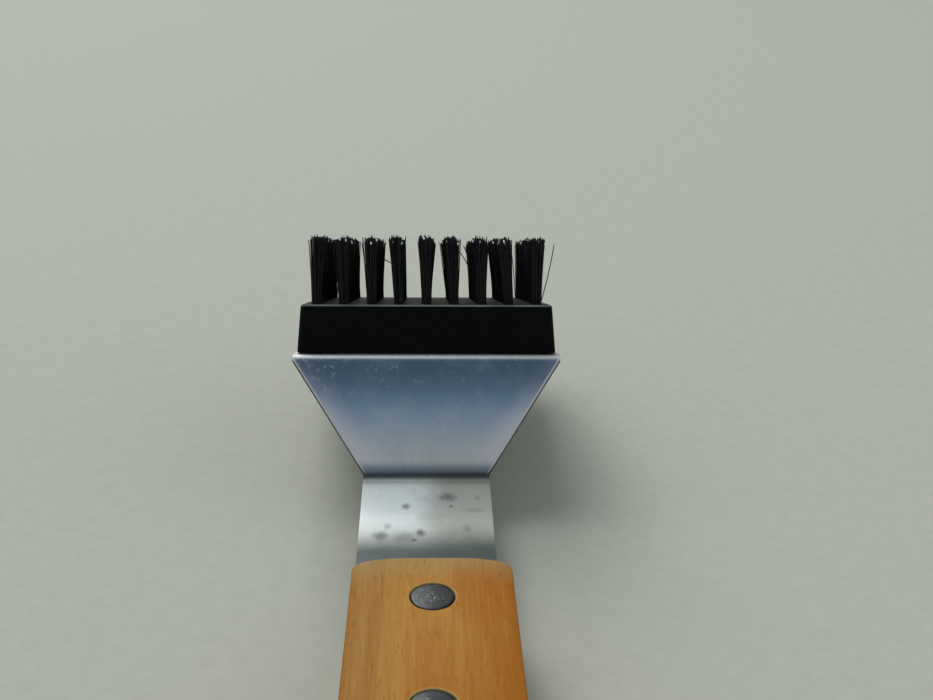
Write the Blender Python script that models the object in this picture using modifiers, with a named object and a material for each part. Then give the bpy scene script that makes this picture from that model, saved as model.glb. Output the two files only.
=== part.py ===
"""Short grill cleaning brush: a bent steel plate, a plastic block of bristle tufts and a riveted beech handle.

Metres, +Z up. The brush lies on the back of its handle with its bristles up: X runs across it, and +Y from the
butt of the handle to the head. The origin is at the bottom centre of the brush's bounding box.

One sheet of steel makes the tang, the neck, the shoulder and the flange. Two beech halves close round the tang and
are held by two-piece rivets. The block sits on the flange, held by screws from behind, and carries the bristles in
rows. Each row is fused to a strip that fills a groove of the block.
"""

import math
import random

import bmesh
import bpy
import numpy as np
from mathutils import Matrix, Vector

MM = 0.001
GAP = 0.3 * MM
CUT_MARGIN = 2.0 * MM

# Steel sheet
SHEET = 1.5 * MM
TANG_LENGTH = 86.0 * MM
TANG_WIDTH = 22.0 * MM
TANG_CORNER_RADIUS = 5.0 * MM
NECK_WIDTH = 29.4 * MM
NECK_LENGTH = 48.2 * MM
CREASE_RADIUS = 2.25 * MM
SHOULDER_HEIGHT = 29.0 * MM
HEAD_TILT = math.radians(20.5)
HEAD_WIDTH = 62.0 * MM
FLANGE_BEND_RADIUS = 1.05 * MM
FLANGE_LEDGE = 2.5 * MM
FLANGE_MARGIN = 1.0 * MM
FLANGE_CORNER_RADIUS = 2.5 * MM

# Block
BLOCK_WIDTH = 60.4 * MM
BLOCK_DEPTH = 67.0 * MM
BLOCK_HEIGHT = 11.2 * MM
BLOCK_DRAFT = 0.8 * MM
BLOCK_CORNER_RADIUS = 1.0 * MM
BLOCK_EDGE_RADIUS = 0.6 * MM

# Tufts
TUFT_COLUMNS = 9
TUFT_ROWS = 10
COLUMN_PITCH = 6.5 * MM
ROW_PITCH = 6.5 * MM
TUFT_RADIUS = 1.0 * MM
TUFT_SPREAD = 1.5
STRAND_LENGTH = 16.0 * MM
STRAND_RADIUS = 0.22 * MM
STRAND_TIP_RADIUS = 0.18 * MM
STRAND_SIDES = 3
STRANDS_IN_RING = 4
STRAND_SINK = 0.8 * MM
STRAND_LENGTH_SPREAD = 0.6 * MM
STRAND_LEAN_SPREAD = 0.1 * MM
TUFT_LEAN_SPREAD = 0.45 * MM
COLUMN_LEANS = [lean * MM for lean in (0.0, 0.1, 0.0, -0.9, -0.3, -0.5, 0.1, -0.6, 0.5)]
STRIP_MARGIN = 0.2 * MM
STRIP_DEPTH = 3.0 * MM
SEED = 7

# Wooden handle
HANDLE_LENGTH = 118.0 * MM
HANDLE_THICKNESS = 22.0 * MM
HANDLE_FRONT_WIDTH = 31.4 * MM
HANDLE_WAIST_WIDTH = 32.1 * MM
HANDLE_BUTT_WIDTH = 33.0 * MM
HANDLE_WAIST_PLACE = 55.0 * MM
HANDLE_FLAT_WIDTH = 10.0 * MM
HANDLE_CROWN_DROP = 1.9 * MM
FRONT_CORNER_RADIUS = 1.8 * MM
FRONT_EDGE_RADIUS = 0.5 * MM
BUTT_CORNER_RADIUS = 13.0 * MM
BUTT_EDGE_RADIUS = 5.0 * MM
HANDLE_SHIFT = 1.1 * MM

# Rivets
RIVET_COUNT = 3
RIVET_FIRST = 13.0 * MM
RIVET_PITCH = 31.0 * MM
RIVET_HEAD_RADIUS = 4.15 * MM
RIVET_HEAD_THICKNESS = 1.4 * MM
RIVET_HEAD_CHAMFER = 0.2 * MM
RIVET_RECESS = 0.1 * MM
RIVET_TUBE_RADIUS = 2.6 * MM
RIVET_PIN_RADIUS = 1.4 * MM
RIVET_PIN_REST = 1.0 * MM

# Screws
SCREW_SPAN = 39.0 * MM
SCREW_ROW_SPAN = 39.0 * MM
SCREW_RADIUS = 1.6 * MM
SCREW_HEAD_RADIUS = 3.0 * MM
SCREW_HEAD_HEIGHT = 2.0 * MM
SCREW_HEAD_RIM = 0.5 * MM
SCREW_REACH = 6.0 * MM
SCREW_POINT = 1.5 * MM

# Fineness of round shapes
BEND_STEPS = 5
CORNER_STEPS = 4
BUTT_STEPS = 6
CROWN_STEPS = 5
SIDE_STEPS = 8
ROUND_SIDES = 24
SCREW_SIDES = 16
DOME_STEPS = 4
MERGE_DISTANCE = 0.00001
SHARP_ANGLE = math.radians(35)


def remove_old_objects():
    """Empties the scene."""
    for obj in list(bpy.data.objects):
        bpy.data.objects.remove(obj, do_unlink=True)


def new_collection(name):
    """A collection in the scene."""
    collection = bpy.data.collections.new(name)
    bpy.context.scene.collection.children.link(collection)
    return collection


def new_material(name, colour, roughness, metallic):
    """A plain material with the part's colour as (red, green, blue)."""
    material = bpy.data.materials.new(name)
    material.use_nodes = True
    surface = material.node_tree.nodes["Principled BSDF"]
    surface.inputs["Base Color"].default_value = (*colour, 1.0)
    surface.inputs["Roughness"].default_value = roughness
    surface.inputs["Metallic"].default_value = metallic
    return material


def mesh_from(build, name):
    """The mesh of a bmesh, which is freed."""
    mesh = bpy.data.meshes.new(name)
    build.to_mesh(mesh)
    build.free()
    return mesh


def put(name, mesh, collection, parent, material=None):
    """An object in a collection, carried by a parent."""
    obj = bpy.data.objects.new(name, mesh)
    obj.parent = parent
    collection.objects.link(obj)
    if material and not mesh.materials:
        mesh.materials.append(material)
    return obj


def put_frame(name, collection, parent, location=(0, 0, 0), rotation=(0, 0, 0)):
    """An empty that carries a group of pieces."""
    frame = put(name, None, collection, parent)
    frame.location = location
    frame.rotation_euler = rotation
    return frame


def make_cutter(obj):
    """Marks a shape that a Boolean takes away or adds, and that isn't a piece itself."""
    obj.hide_render = True
    obj.display_type = "WIRE"
    return obj


def boolean(obj, cutter, operation="DIFFERENCE"):
    """Cuts or joins an object with another."""
    modifier = obj.modifiers.new(cutter.name, "BOOLEAN")
    modifier.object = cutter
    modifier.operation = operation
    modifier.solver = "EXACT"


def turn(obj, sides):
    """Turns an object's profile about Z into a closed solid."""
    modifier = obj.modifiers.new("Turned", "SCREW")
    modifier.axis = "Z"
    modifier.steps = sides
    modifier.render_steps = sides
    modifier.use_merge_vertices = True
    modifier.merge_threshold = MERGE_DISTANCE
    modifier.use_smooth_shade = False


def shading_nodes():
    """A node group that shades faces smooth and keeps the edges sharp that turn more than SHARP_ANGLE."""
    group = bpy.data.node_groups.new("smooth_by_angle", "GeometryNodeTree")
    for in_out in ("INPUT", "OUTPUT"):
        group.interface.new_socket("Geometry", in_out=in_out, socket_type="NodeSocketGeometry")
    start = group.nodes.new("NodeGroupInput")
    end = group.nodes.new("NodeGroupOutput")
    angle = group.nodes.new("GeometryNodeInputMeshEdgeAngle")
    gentle = group.nodes.new("FunctionNodeCompare")
    gentle.operation = "LESS_THAN"
    gentle.inputs["B"].default_value = SHARP_ANGLE
    edges = group.nodes.new("GeometryNodeSetShadeSmooth")
    edges.domain = "EDGE"
    faces = group.nodes.new("GeometryNodeSetShadeSmooth")
    group.links.new(angle.outputs["Unsigned Angle"], gentle.inputs["A"])
    group.links.new(gentle.outputs["Result"], edges.inputs["Shade Smooth"])
    group.links.new(start.outputs["Geometry"], edges.inputs["Geometry"])
    group.links.new(edges.outputs["Geometry"], faces.inputs["Geometry"])
    group.links.new(faces.outputs["Geometry"], end.inputs["Geometry"])
    return group


def shade(parts):
    """Shades every piece's round faces smooth, once its shape is whole."""
    group = shading_nodes()
    for obj in parts.objects:
        if obj.type == "MESH":
            modifier = obj.modifiers.new("Shading", "NODES")
            modifier.node_group = group


def profile_mesh(name, points):
    """An open chain of (radius, height) points."""
    build = bmesh.new()
    verts = [build.verts.new((radius, 0.0, height)) for radius, height in points]
    for first, second in zip(verts, verts[1:]):
        build.edges.new((first, second))
    return mesh_from(build, name)


def add_box(build, low, high):
    """A box between two corners."""
    low, high = Vector(low), Vector(high)
    place = Matrix.Translation((low + high) / 2) @ Matrix.Diagonal((*(high - low), 1.0))
    return bmesh.ops.create_cube(build, size=1.0, matrix=place)["verts"]


def corner_points(radius, steps=CORNER_STEPS):
    """Points round a corner, as (distance from the end, how far the side is drawn in)."""
    angles = [step * math.pi / 2 / steps for step in range(steps + 1)]
    return [(radius * (1 - math.cos(angle)), radius * (1 - math.sin(angle))) for angle in angles]


def corner_inset(distance, radius):
    """How far a rounded corner draws a side in at a distance from the end."""
    if distance >= radius:
        return 0.0
    return radius - math.sqrt(radius**2 - (radius - distance) ** 2)


def flange_depth():
    """From the shoulder's front surface to the flange's rear edge."""
    return FLANGE_LEDGE + BLOCK_DEPTH + FLANGE_MARGIN


class SheetWalk:
    """Walks the sheet's centre line in the plane X = 0 and keeps a row (y, z, half width) at each stop."""

    def __init__(self, y, z):
        self.y = y
        self.z = z
        self.heading = 0.0
        self.rows = []

    def straight(self, length, half_width):
        """A flat run that ends at a half width."""
        self.y += length * math.cos(self.heading)
        self.z += length * math.sin(self.heading)
        self.rows.append((self.y, self.z, half_width))

    def bend(self, radius, heading, half_width):
        """A bend to a new heading, with its radius measured to the middle of the sheet."""
        turn_each = (heading - self.heading) / BEND_STEPS
        chord = 2 * radius * math.sin(abs(turn_each) / 2)
        for _ in range(BEND_STEPS):
            self.heading += turn_each / 2
            self.straight(chord, half_width)
            self.heading += turn_each / 2

    def widen(self, radius, half_width):
        """Rounded corners out to a half width, from a stop that is one radius narrower."""
        before = 0.0
        for distance, inset in corner_points(radius)[1:]:
            self.straight(distance - before, half_width - inset)
            before = distance

    def narrow(self, radius, half_width):
        """Rounded corners in from a half width, to an edge that is one radius narrower."""
        before = radius
        for distance, inset in corner_points(radius)[-2::-1]:
            self.straight(before - distance, half_width - inset)
            before = distance


def walk_tang(clearance=0.0):
    """The flat tang, from its tail to just clear of the handle's front face at Y = 0."""
    half_width = TANG_WIDTH / 2 + clearance
    walk = SheetWalk(-TANG_LENGTH - clearance, HANDLE_THICKNESS / 2)
    walk.straight(0.0, half_width - TANG_CORNER_RADIUS)
    walk.widen(TANG_CORNER_RADIUS, half_width)
    walk.straight(TANG_LENGTH + clearance - TANG_CORNER_RADIUS + GAP, half_width)
    return walk


def walk_plate():
    """The whole sheet, and the point (y, z) where the shoulder's front and the flange's top would meet.

    The neck's length runs from the handle to the crease, along the upper face. The shoulder's height runs from the
    crease to the flange's top, along the front face.
    """
    half_neck = NECK_WIDTH / 2
    half_head = HEAD_WIDTH / 2
    shoulder_heading = math.pi / 2 - HEAD_TILT
    crease = (CREASE_RADIUS - SHEET / 2) * math.tan(shoulder_heading / 2)
    bend = FLANGE_BEND_RADIUS + SHEET / 2
    step = (NECK_WIDTH - TANG_WIDTH) / 2
    walk = walk_tang()
    walk.widen(step, half_neck)
    walk.straight(NECK_LENGTH - GAP - step - crease, half_neck)
    walk.bend(CREASE_RADIUS, shoulder_heading, half_neck)
    walk.straight(SHOULDER_HEIGHT - crease - bend, half_head)
    up = Vector((math.sin(HEAD_TILT), math.cos(HEAD_TILT)))
    away = Vector((math.cos(HEAD_TILT), -math.sin(HEAD_TILT)))
    corner = Vector((walk.y, walk.z)) + up * bend - away * SHEET / 2
    walk.bend(FLANGE_BEND_RADIUS, -HEAD_TILT, half_head)
    walk.straight(flange_depth() - bend - FLANGE_CORNER_RADIUS, half_head)
    walk.narrow(FLANGE_CORNER_RADIUS, half_head)
    return walk, corner


def sheet_mesh(name, rows):
    """An open strip through the rows, two points wide."""
    build = bmesh.new()
    last = len(rows) - 1
    bmesh.ops.create_grid(build, x_segments=1, y_segments=last, size=1.0)
    for vert in build.verts:
        y, z, half_width = rows[round((vert.co.y + 1) / 2 * last)]
        vert.co = (vert.co.x * half_width, y, z)
    return mesh_from(build, name)


def thicken(obj, thickness):
    """Gives an open strip its thickness, half to each side."""
    modifier = obj.modifiers.new("Thickness", "SOLIDIFY")
    modifier.thickness = thickness
    modifier.offset = 0.0
    modifier.use_even_offset = True


def handle_half_width(distance):
    """Half the handle's width at a distance behind its front face."""
    if distance < HANDLE_WAIST_PLACE:
        ease = (1 - math.cos(math.pi * distance / HANDLE_WAIST_PLACE)) / 2
        return (HANDLE_FRONT_WIDTH + (HANDLE_WAIST_WIDTH - HANDLE_FRONT_WIDTH) * ease) / 2
    place = (distance - HANDLE_WAIST_PLACE) / (HANDLE_LENGTH - HANDLE_WAIST_PLACE)
    ease = (1 - math.cos(math.pi * place)) / 2
    return (HANDLE_WAIST_WIDTH + (HANDLE_BUTT_WIDTH - HANDLE_WAIST_WIDTH) * ease) / 2


def handle_section(distance, half_width, height):
    """One half's section at a distance behind the front face: flat on the split, crowned on the outside."""
    flat = HANDLE_FLAT_WIDTH / HANDLE_FRONT_WIDTH * half_width
    spring = height - HANDLE_CROWN_DROP
    side = []
    for step in range(CROWN_STEPS + 1):
        angle = step * math.pi / 2 / CROWN_STEPS
        across = flat + (half_width - flat) * math.cos(angle)
        side.append((across, spring + HANDLE_CROWN_DROP * math.sin(angle)))
    side.insert(0, (half_width, GAP / 2))
    outline = side + [(-across, up) for across, up in reversed(side)]
    return [Vector((across, -distance, up)) for across, up in outline]


def handle_rings():
    """Sections of one half of the handle from its front face to its butt."""
    front = [distance for distance, _ in corner_points(FRONT_CORNER_RADIUS)]
    butt = [HANDLE_LENGTH - distance for distance, _ in corner_points(BUTT_CORNER_RADIUS, BUTT_STEPS)]
    between = np.linspace(FRONT_CORNER_RADIUS, HANDLE_LENGTH - BUTT_CORNER_RADIUS, SIDE_STEPS + 1)[1:-1]
    rings = []
    for distance in [*front, *between, *reversed(butt)]:
        to_butt = HANDLE_LENGTH - distance
        half_width = handle_half_width(distance)
        half_width -= corner_inset(distance, FRONT_CORNER_RADIUS) + corner_inset(to_butt, BUTT_CORNER_RADIUS)
        height = HANDLE_THICKNESS / 2
        height -= corner_inset(distance, FRONT_EDGE_RADIUS) + corner_inset(to_butt, BUTT_EDGE_RADIUS)
        rings.append(handle_section(distance, half_width, height))
    return rings


def loft_mesh(name, rings):
    """A closed solid through rings of points, with a flat face on the first and the last."""
    build = bmesh.new()
    loops = [[build.verts.new(point) for point in ring] for ring in rings]
    for first, second in zip(loops, loops[1:]):
        for index in range(len(first)):
            build.faces.new((first[index - 1], first[index], second[index], second[index - 1]))
    build.faces.new(loops[0])
    build.faces.new(loops[-1])
    bmesh.ops.recalc_face_normals(build, faces=build.faces)
    return mesh_from(build, name)


def rivet_levels():
    """Heights from the handle's middle: the heads' outer faces and their inner faces."""
    outer = HANDLE_THICKNESS / 2 - RIVET_RECESS
    return outer, outer - RIVET_HEAD_THICKNESS


def rivet_hole_profile():
    """The hole through the handle and the tang, with a seat for a head at each end."""
    _, inner = rivet_levels()
    seat = inner - GAP
    beyond = HANDLE_THICKNESS / 2 + CUT_MARGIN
    wide = RIVET_HEAD_RADIUS + GAP
    narrow = RIVET_TUBE_RADIUS + GAP
    upper = [(0.0, beyond), (wide, beyond), (wide, seat), (narrow, seat)]
    return upper + [(radius, -height) for radius, height in reversed(upper)]


def rivet_cap_profile():
    """The upper half: a head with a solid pin."""
    outer, inner = rivet_levels()
    pin_end = -inner + RIVET_PIN_REST
    return [
        (0.0, outer),
        (RIVET_HEAD_RADIUS - RIVET_HEAD_CHAMFER, outer),
        (RIVET_HEAD_RADIUS, outer - RIVET_HEAD_CHAMFER),
        (RIVET_HEAD_RADIUS, inner),
        (RIVET_PIN_RADIUS, inner),
        (RIVET_PIN_RADIUS, pin_end),
        (0.0, pin_end),
    ]


def rivet_socket_profile():
    """The lower half: a head with a tube that takes the pin."""
    outer, inner = rivet_levels()
    bore = RIVET_PIN_RADIUS + GAP
    return [
        (0.0, -inner),
        (bore, -inner),
        (bore, inner - GAP),
        (RIVET_TUBE_RADIUS, inner - GAP),
        (RIVET_TUBE_RADIUS, -inner),
        (RIVET_HEAD_RADIUS, -inner),
        (RIVET_HEAD_RADIUS, -outer + RIVET_HEAD_CHAMFER),
        (RIVET_HEAD_RADIUS - RIVET_HEAD_CHAMFER, -outer),
        (0.0, -outer),
    ]


def screw_profile():
    """A pan-head screw with its axis up: the head is under the flange and the point in the block."""
    seat = -SHEET - GAP
    tip = GAP + SCREW_REACH
    points = [
        (0.0, tip),
        (SCREW_RADIUS, tip - SCREW_POINT),
        (SCREW_RADIUS, seat),
        (SCREW_HEAD_RADIUS, seat),
    ]
    for step in range(DOME_STEPS + 1):
        angle = step * math.pi / 2 / DOME_STEPS
        radius = SCREW_HEAD_RADIUS * math.cos(angle) if step < DOME_STEPS else 0.0
        dome = (SCREW_HEAD_HEIGHT - SCREW_HEAD_RIM) * math.sin(angle)
        points.append((radius, seat - SCREW_HEAD_RIM - dome))
    return points


def screw_hole_profile():
    """The clearance hole through the flange and the blind hole in the block."""
    radius = SCREW_RADIUS + GAP
    top = 2 * GAP + SCREW_REACH
    bottom = -SHEET - CUT_MARGIN
    return [(0.0, top), (radius, top), (radius, bottom), (0.0, bottom)]


def screw_places():
    """Where the screws stand on the flange, between the tufts."""
    middle = FLANGE_LEDGE + BLOCK_DEPTH / 2
    return [
        (across * SCREW_SPAN / 2, middle + along * SCREW_ROW_SPAN / 2) for along in (-1, 1) for across in (-1, 1)
    ]


def block_mesh():
    """The block: a box with drafted sides, round corners and a softened deck edge."""
    build = bmesh.new()
    half = BLOCK_WIDTH / 2
    back = FLANGE_LEDGE + BLOCK_DEPTH
    top = deck_height()
    verts = add_box(build, (-half, FLANGE_LEDGE, GAP), (half, back, top))
    middle = FLANGE_LEDGE + BLOCK_DEPTH / 2
    level = (GAP + top) / 2
    for vert in verts:
        if vert.co.z > level:
            vert.co.x -= math.copysign(BLOCK_DRAFT, vert.co.x)
            vert.co.y -= math.copysign(BLOCK_DRAFT, vert.co.y - middle)
    corners = [edge for edge in build.edges if abs(edge.verts[0].co.z - edge.verts[1].co.z) > level]
    bmesh.ops.bevel(
        build, geom=corners, offset=BLOCK_CORNER_RADIUS, segments=CORNER_STEPS, profile=0.5, affect="EDGES"
    )
    rim = [edge for edge in build.edges if min(vert.co.z for vert in edge.verts) > top - MERGE_DISTANCE]
    bmesh.ops.bevel(build, geom=rim, offset=BLOCK_EDGE_RADIUS, segments=2, profile=0.5, affect="EDGES")
    return mesh_from(build, "brush_block")


def deck_height():
    """Height of the block's deck above the flange."""
    return GAP + BLOCK_HEIGHT


def row_place(row):
    """Depth of a row of tufts behind the shoulder's front surface."""
    middle = FLANGE_LEDGE + BLOCK_DEPTH / 2
    return middle + (row - (TUFT_ROWS - 1) / 2) * ROW_PITCH


def column_place(column):
    """Place of a column of tufts across the block."""
    return (column - (TUFT_COLUMNS - 1) / 2) * COLUMN_PITCH


def strip_box(row, clearance=0.0, rise=0.0):
    """Corners of the strip that a row is fused to, grown by a clearance on its sides and bottom."""
    half_length = column_place(TUFT_COLUMNS - 1) + TUFT_RADIUS + STRIP_MARGIN + clearance
    half_width = TUFT_RADIUS + STRIP_MARGIN + clearance
    top = deck_height()
    low = (-half_length, row_place(row) - half_width, top - STRIP_DEPTH - clearance)
    high = (half_length, row_place(row) + half_width, top + rise)
    return low, high


def tuft_strands(chance, row, column):
    """The strands of one tuft, as pairs of base and tip: one in the middle and a ring round it."""
    base = Vector((column_place(column), row_place(row), deck_height()))
    lean = Vector((COLUMN_LEANS[column % len(COLUMN_LEANS)], 0.0, 0.0))
    lean.x += chance.uniform(-1, 1) * TUFT_LEAN_SPREAD
    lean.y += chance.uniform(-1, 1) * TUFT_LEAN_SPREAD
    start = chance.uniform(0, math.pi)
    ring = TUFT_RADIUS - STRAND_RADIUS
    offsets = [Vector((0.0, 0.0, 0.0))]
    for index in range(STRANDS_IN_RING):
        angle = start + index * math.tau / STRANDS_IN_RING
        offsets.append(Vector((ring * math.cos(angle), ring * math.sin(angle), 0.0)))
    strands = []
    for offset in offsets:
        tip = base + lean + offset * TUFT_SPREAD
        tip.x += chance.uniform(-1, 1) * STRAND_LEAN_SPREAD
        tip.y += chance.uniform(-1, 1) * STRAND_LEAN_SPREAD
        tip.z += STRAND_LENGTH + chance.uniform(-1, 0) * STRAND_LENGTH_SPREAD
        strands.append((base + offset, tip))
    return strands


def strand_mesh(name, chance, strands):
    """All the strands of a row, each a slim cone that starts inside the strip."""
    build = bmesh.new()
    for base, tip in strands:
        along = (tip - base).normalized()
        foot = base - along * STRAND_SINK
        place = Matrix.Translation((foot + tip) / 2) @ along.to_track_quat("Z", "Y").to_matrix().to_4x4()
        place @= Matrix.Rotation(chance.uniform(0, math.tau), 4, "Z")
        bmesh.ops.create_cone(
            build,
            cap_ends=True,
            segments=STRAND_SIDES,
            radius1=STRAND_RADIUS,
            radius2=STRAND_TIP_RADIUS,
            depth=(tip - foot).length,
            matrix=place,
        )
    return mesh_from(build, name)


def least_strand_gap(strands):
    """The least distance between two strands' surfaces, over all pairs, from evenly spaced heights."""
    bases = np.array([base for base, _ in strands])
    tips = np.array([tip for _, tip in strands])
    least = math.inf
    for share in np.linspace(0.0, 1.0, 9):
        points = bases + (tips - bases) * share
        apart = np.linalg.norm(points[:, None] - points[None], axis=2)
        np.fill_diagonal(apart, math.inf)
        least = min(least, apart.min())
    return least - 2 * STRAND_RADIUS


def build_plate(parts, root, steel):
    """The bent sheet. Returns it and the corner that the head's pieces are placed from."""
    walk, corner = walk_plate()
    plate = put("steel_plate", sheet_mesh("steel_plate", walk.rows), parts, root, steel)
    thicken(plate, SHEET)
    return plate, corner


def build_handle(parts, cutters, root, frame, wood):
    """The two halves of the handle, hollowed for the tang."""
    mesh = loft_mesh("handle_half", handle_rings())
    pocket_rows = walk_tang(GAP).rows
    pocket_rows[-1] = (CUT_MARGIN, pocket_rows[-1][1], pocket_rows[-1][2])
    pocket = make_cutter(put("tang_pocket", sheet_mesh("tang_pocket", pocket_rows), cutters, root))
    thicken(pocket, SHEET + 2 * GAP)
    halves = [put(name, mesh, parts, frame, wood) for name in ("handle_top", "handle_bottom")]
    halves[1].rotation_euler.y = math.pi
    for half in halves:
        boolean(half, pocket)
    return halves


def build_rivets(parts, cutters, frame, drilled, steel):
    """The rivets along the handle's middle, and their holes in the pieces that they go through."""
    cap_mesh = profile_mesh("rivet_cap", rivet_cap_profile())
    socket_mesh = profile_mesh("rivet_socket", rivet_socket_profile())
    hole_mesh = profile_mesh("rivet_hole", rivet_hole_profile())
    for index in range(RIVET_COUNT):
        place = (0.0, -RIVET_FIRST - index * RIVET_PITCH, 0.0)
        rivet = put_frame(f"rivet_{index + 1}", parts, frame, place)
        turn(put(f"rivet_{index + 1}_cap", cap_mesh, parts, rivet, steel), ROUND_SIDES)
        turn(put(f"rivet_{index + 1}_socket", socket_mesh, parts, rivet, steel), ROUND_SIDES)
        hole = make_cutter(put(f"rivet_{index + 1}_hole", hole_mesh, cutters, rivet))
        turn(hole, ROUND_SIDES)
        for piece in drilled:
            boolean(piece, hole)


def build_block(parts, cutters, head, plastic):
    """The block with a groove for each row of tufts."""
    block = put("brush_block", block_mesh(), parts, head, plastic)
    grooves = bmesh.new()
    for row in range(TUFT_ROWS):
        add_box(grooves, *strip_box(row, GAP, CUT_MARGIN))
    boolean(block, make_cutter(put("grooves", mesh_from(grooves, "grooves"), cutters, head)))
    return block


def build_screws(parts, cutters, head, drilled, steel):
    """The screws behind the flange, and their holes."""
    screw_mesh = profile_mesh("screw", screw_profile())
    hole_mesh = profile_mesh("screw_hole", screw_hole_profile())
    for index, (across, along) in enumerate(screw_places()):
        screw = put(f"screw_{index + 1}", screw_mesh, parts, head, steel)
        hole = make_cutter(put(f"screw_{index + 1}_hole", hole_mesh, cutters, head))
        turn(screw, SCREW_SIDES)
        turn(hole, SCREW_SIDES)
        screw.location = hole.location = (across, along, 0.0)
        for piece in drilled:
            boolean(piece, hole)


def build_bristles(parts, cutters, head, bristle):
    """The rows of tufts, each fused to its strip."""
    chance = random.Random(SEED)
    every_strand = []
    for row in range(TUFT_ROWS):
        name = f"bristle_row_{row + 1}"
        strands = []
        for column in range(TUFT_COLUMNS):
            strands += tuft_strands(chance, row, column)
        strip = bmesh.new()
        add_box(strip, *strip_box(row))
        piece = put(name, mesh_from(strip, name), parts, head, bristle)
        loose = make_cutter(put(f"{name}_strands", strand_mesh(name, chance, strands), cutters, head))
        boolean(piece, loose, "UNION")
        every_strand += strands
    print(f"{len(every_strand)} strands, least gap {least_strand_gap(every_strand) / MM:.2f} mm")


def seat_on_origin(root, parts):
    """Moves the brush so that the origin is at the bottom centre of its bounding box."""
    bpy.context.view_layer.update()
    graph = bpy.context.evaluated_depsgraph_get()
    points = []
    for obj in parts.objects:
        if obj.type == "MESH":
            shape = obj.evaluated_get(graph)
            points += [shape.matrix_world @ vert.co for vert in shape.data.vertices]
    points = np.array(points)
    low, high = points.min(axis=0), points.max(axis=0)
    root.location -= Vector(((low[0] + high[0]) / 2, (low[1] + high[1]) / 2, low[2]))
    print("size in mm", np.round((high - low) / MM, 2))


def main():
    """Builds the brush."""
    remove_old_objects()
    parts = new_collection("grill_brush")
    cutters = new_collection("cutters")
    steel = new_material("sheet_steel", (0.50, 0.51, 0.50), 0.30, 1.0)
    rivet_steel = new_material("rivet_steel", (0.20, 0.21, 0.22), 0.45, 1.0)
    screw_steel = new_material("screw_steel", (0.42, 0.43, 0.44), 0.35, 1.0)
    plastic = new_material("black_plastic", (0.006, 0.006, 0.007), 0.45, 0.0)
    bristle = new_material("bristle", (0.005, 0.005, 0.005), 0.40, 0.0)
    wood = new_material("beech", (0.42, 0.20, 0.07), 0.60, 0.0)
    root = put_frame("brush", parts, None)
    plate, corner = build_plate(parts, root, steel)
    head = put_frame("head", parts, root, (0.0, *corner), (-HEAD_TILT, 0.0, 0.0))
    handle = put_frame("handle", parts, root, (HANDLE_SHIFT, 0.0, HANDLE_THICKNESS / 2))
    halves = build_handle(parts, cutters, root, handle, wood)
    build_rivets(parts, cutters, handle, [plate, *halves], rivet_steel)
    block = build_block(parts, cutters, head, plastic)
    build_screws(parts, cutters, head, [plate, block], screw_steel)
    build_bristles(parts, cutters, head, bristle)
    shade(parts)
    seat_on_origin(root, parts)


main()
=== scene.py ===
"""Looks of the grill cleaning brush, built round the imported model.

Each operator makes one piece or one group of like pieces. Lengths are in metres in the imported
model's own frame: X runs across the brush, +Y from the butt of the handle to the head, and the
bristles point up.
"""

import math
import random

import bmesh
import bpy
import numpy as np
from bpy.props import FloatProperty, FloatVectorProperty, IntProperty, PointerProperty
from mathutils import Euler, Matrix, Vector


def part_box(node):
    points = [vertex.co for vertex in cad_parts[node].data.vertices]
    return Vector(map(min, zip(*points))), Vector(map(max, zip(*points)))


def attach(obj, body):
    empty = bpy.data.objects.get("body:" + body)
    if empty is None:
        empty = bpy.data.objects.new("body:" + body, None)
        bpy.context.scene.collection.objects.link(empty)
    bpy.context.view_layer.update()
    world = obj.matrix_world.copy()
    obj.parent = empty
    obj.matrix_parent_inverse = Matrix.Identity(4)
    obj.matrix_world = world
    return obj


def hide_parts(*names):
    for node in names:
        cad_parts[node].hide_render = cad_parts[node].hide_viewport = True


bl_info = {
    "name": "Grill Brush",
    "version": (1, 0, 0),
    "blender": (4, 5, 0),
    "location": "3D View > Sidebar > Grill Brush",
    "description": "Builds the steel, wood, plastic and bristles of a grill cleaning brush",
    "category": "Add Mesh",
}

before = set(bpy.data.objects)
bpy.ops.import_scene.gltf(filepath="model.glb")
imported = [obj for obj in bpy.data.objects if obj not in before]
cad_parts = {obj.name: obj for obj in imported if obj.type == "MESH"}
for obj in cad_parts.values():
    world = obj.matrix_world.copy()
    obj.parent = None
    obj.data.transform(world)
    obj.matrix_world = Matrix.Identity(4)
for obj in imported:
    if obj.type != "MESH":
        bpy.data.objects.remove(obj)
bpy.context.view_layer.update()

BODY = "root"
MM = 0.001
MERGE_DISTANCE = 0.01 * MM
CLEARANCE = 0.3 * MM
CUT_MARGIN = 2.0 * MM

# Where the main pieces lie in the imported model
HANDLE_LOW, HANDLE_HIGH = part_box("handle_top")
PLATE_LOW, PLATE_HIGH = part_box("steel_plate")
FRONT_FACE = HANDLE_HIGH.y
HANDLE_MIDDLE = (HANDLE_LOW.x + HANDLE_HIGH.x) / 2
SPLIT_HEIGHT = HANDLE_LOW.z - CLEARANCE / 2

# Grey stains on the neck, in millimetres: across, ahead of the handle's front face, half sizes, strength
STAINS = (
    (4.8, 40.0, 1.5, 1.5, 0.7),
    (-4.6, 35.9, 0.8, 1.0, 0.7),
    (5.5, 35.9, 0.4, 0.6, 0.6),
    (-10.0, 23.8, 1.3, 1.4, 0.7),
    (-4.8, 23.2, 2.0, 1.8, 0.45),
    (-1.2, 24.9, 0.8, 1.2, 0.8),
    (-2.6, 22.1, 0.5, 0.6, 0.6),
    (-8.6, 27.8, 0.6, 1.0, 0.4),
    (8.9, 26.6, 0.7, 1.2, 0.4),
    (10.6, 34.3, 1.8, 0.9, 0.3),
    (11.6, 39.6, 0.6, 1.1, 0.35),
)

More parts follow.
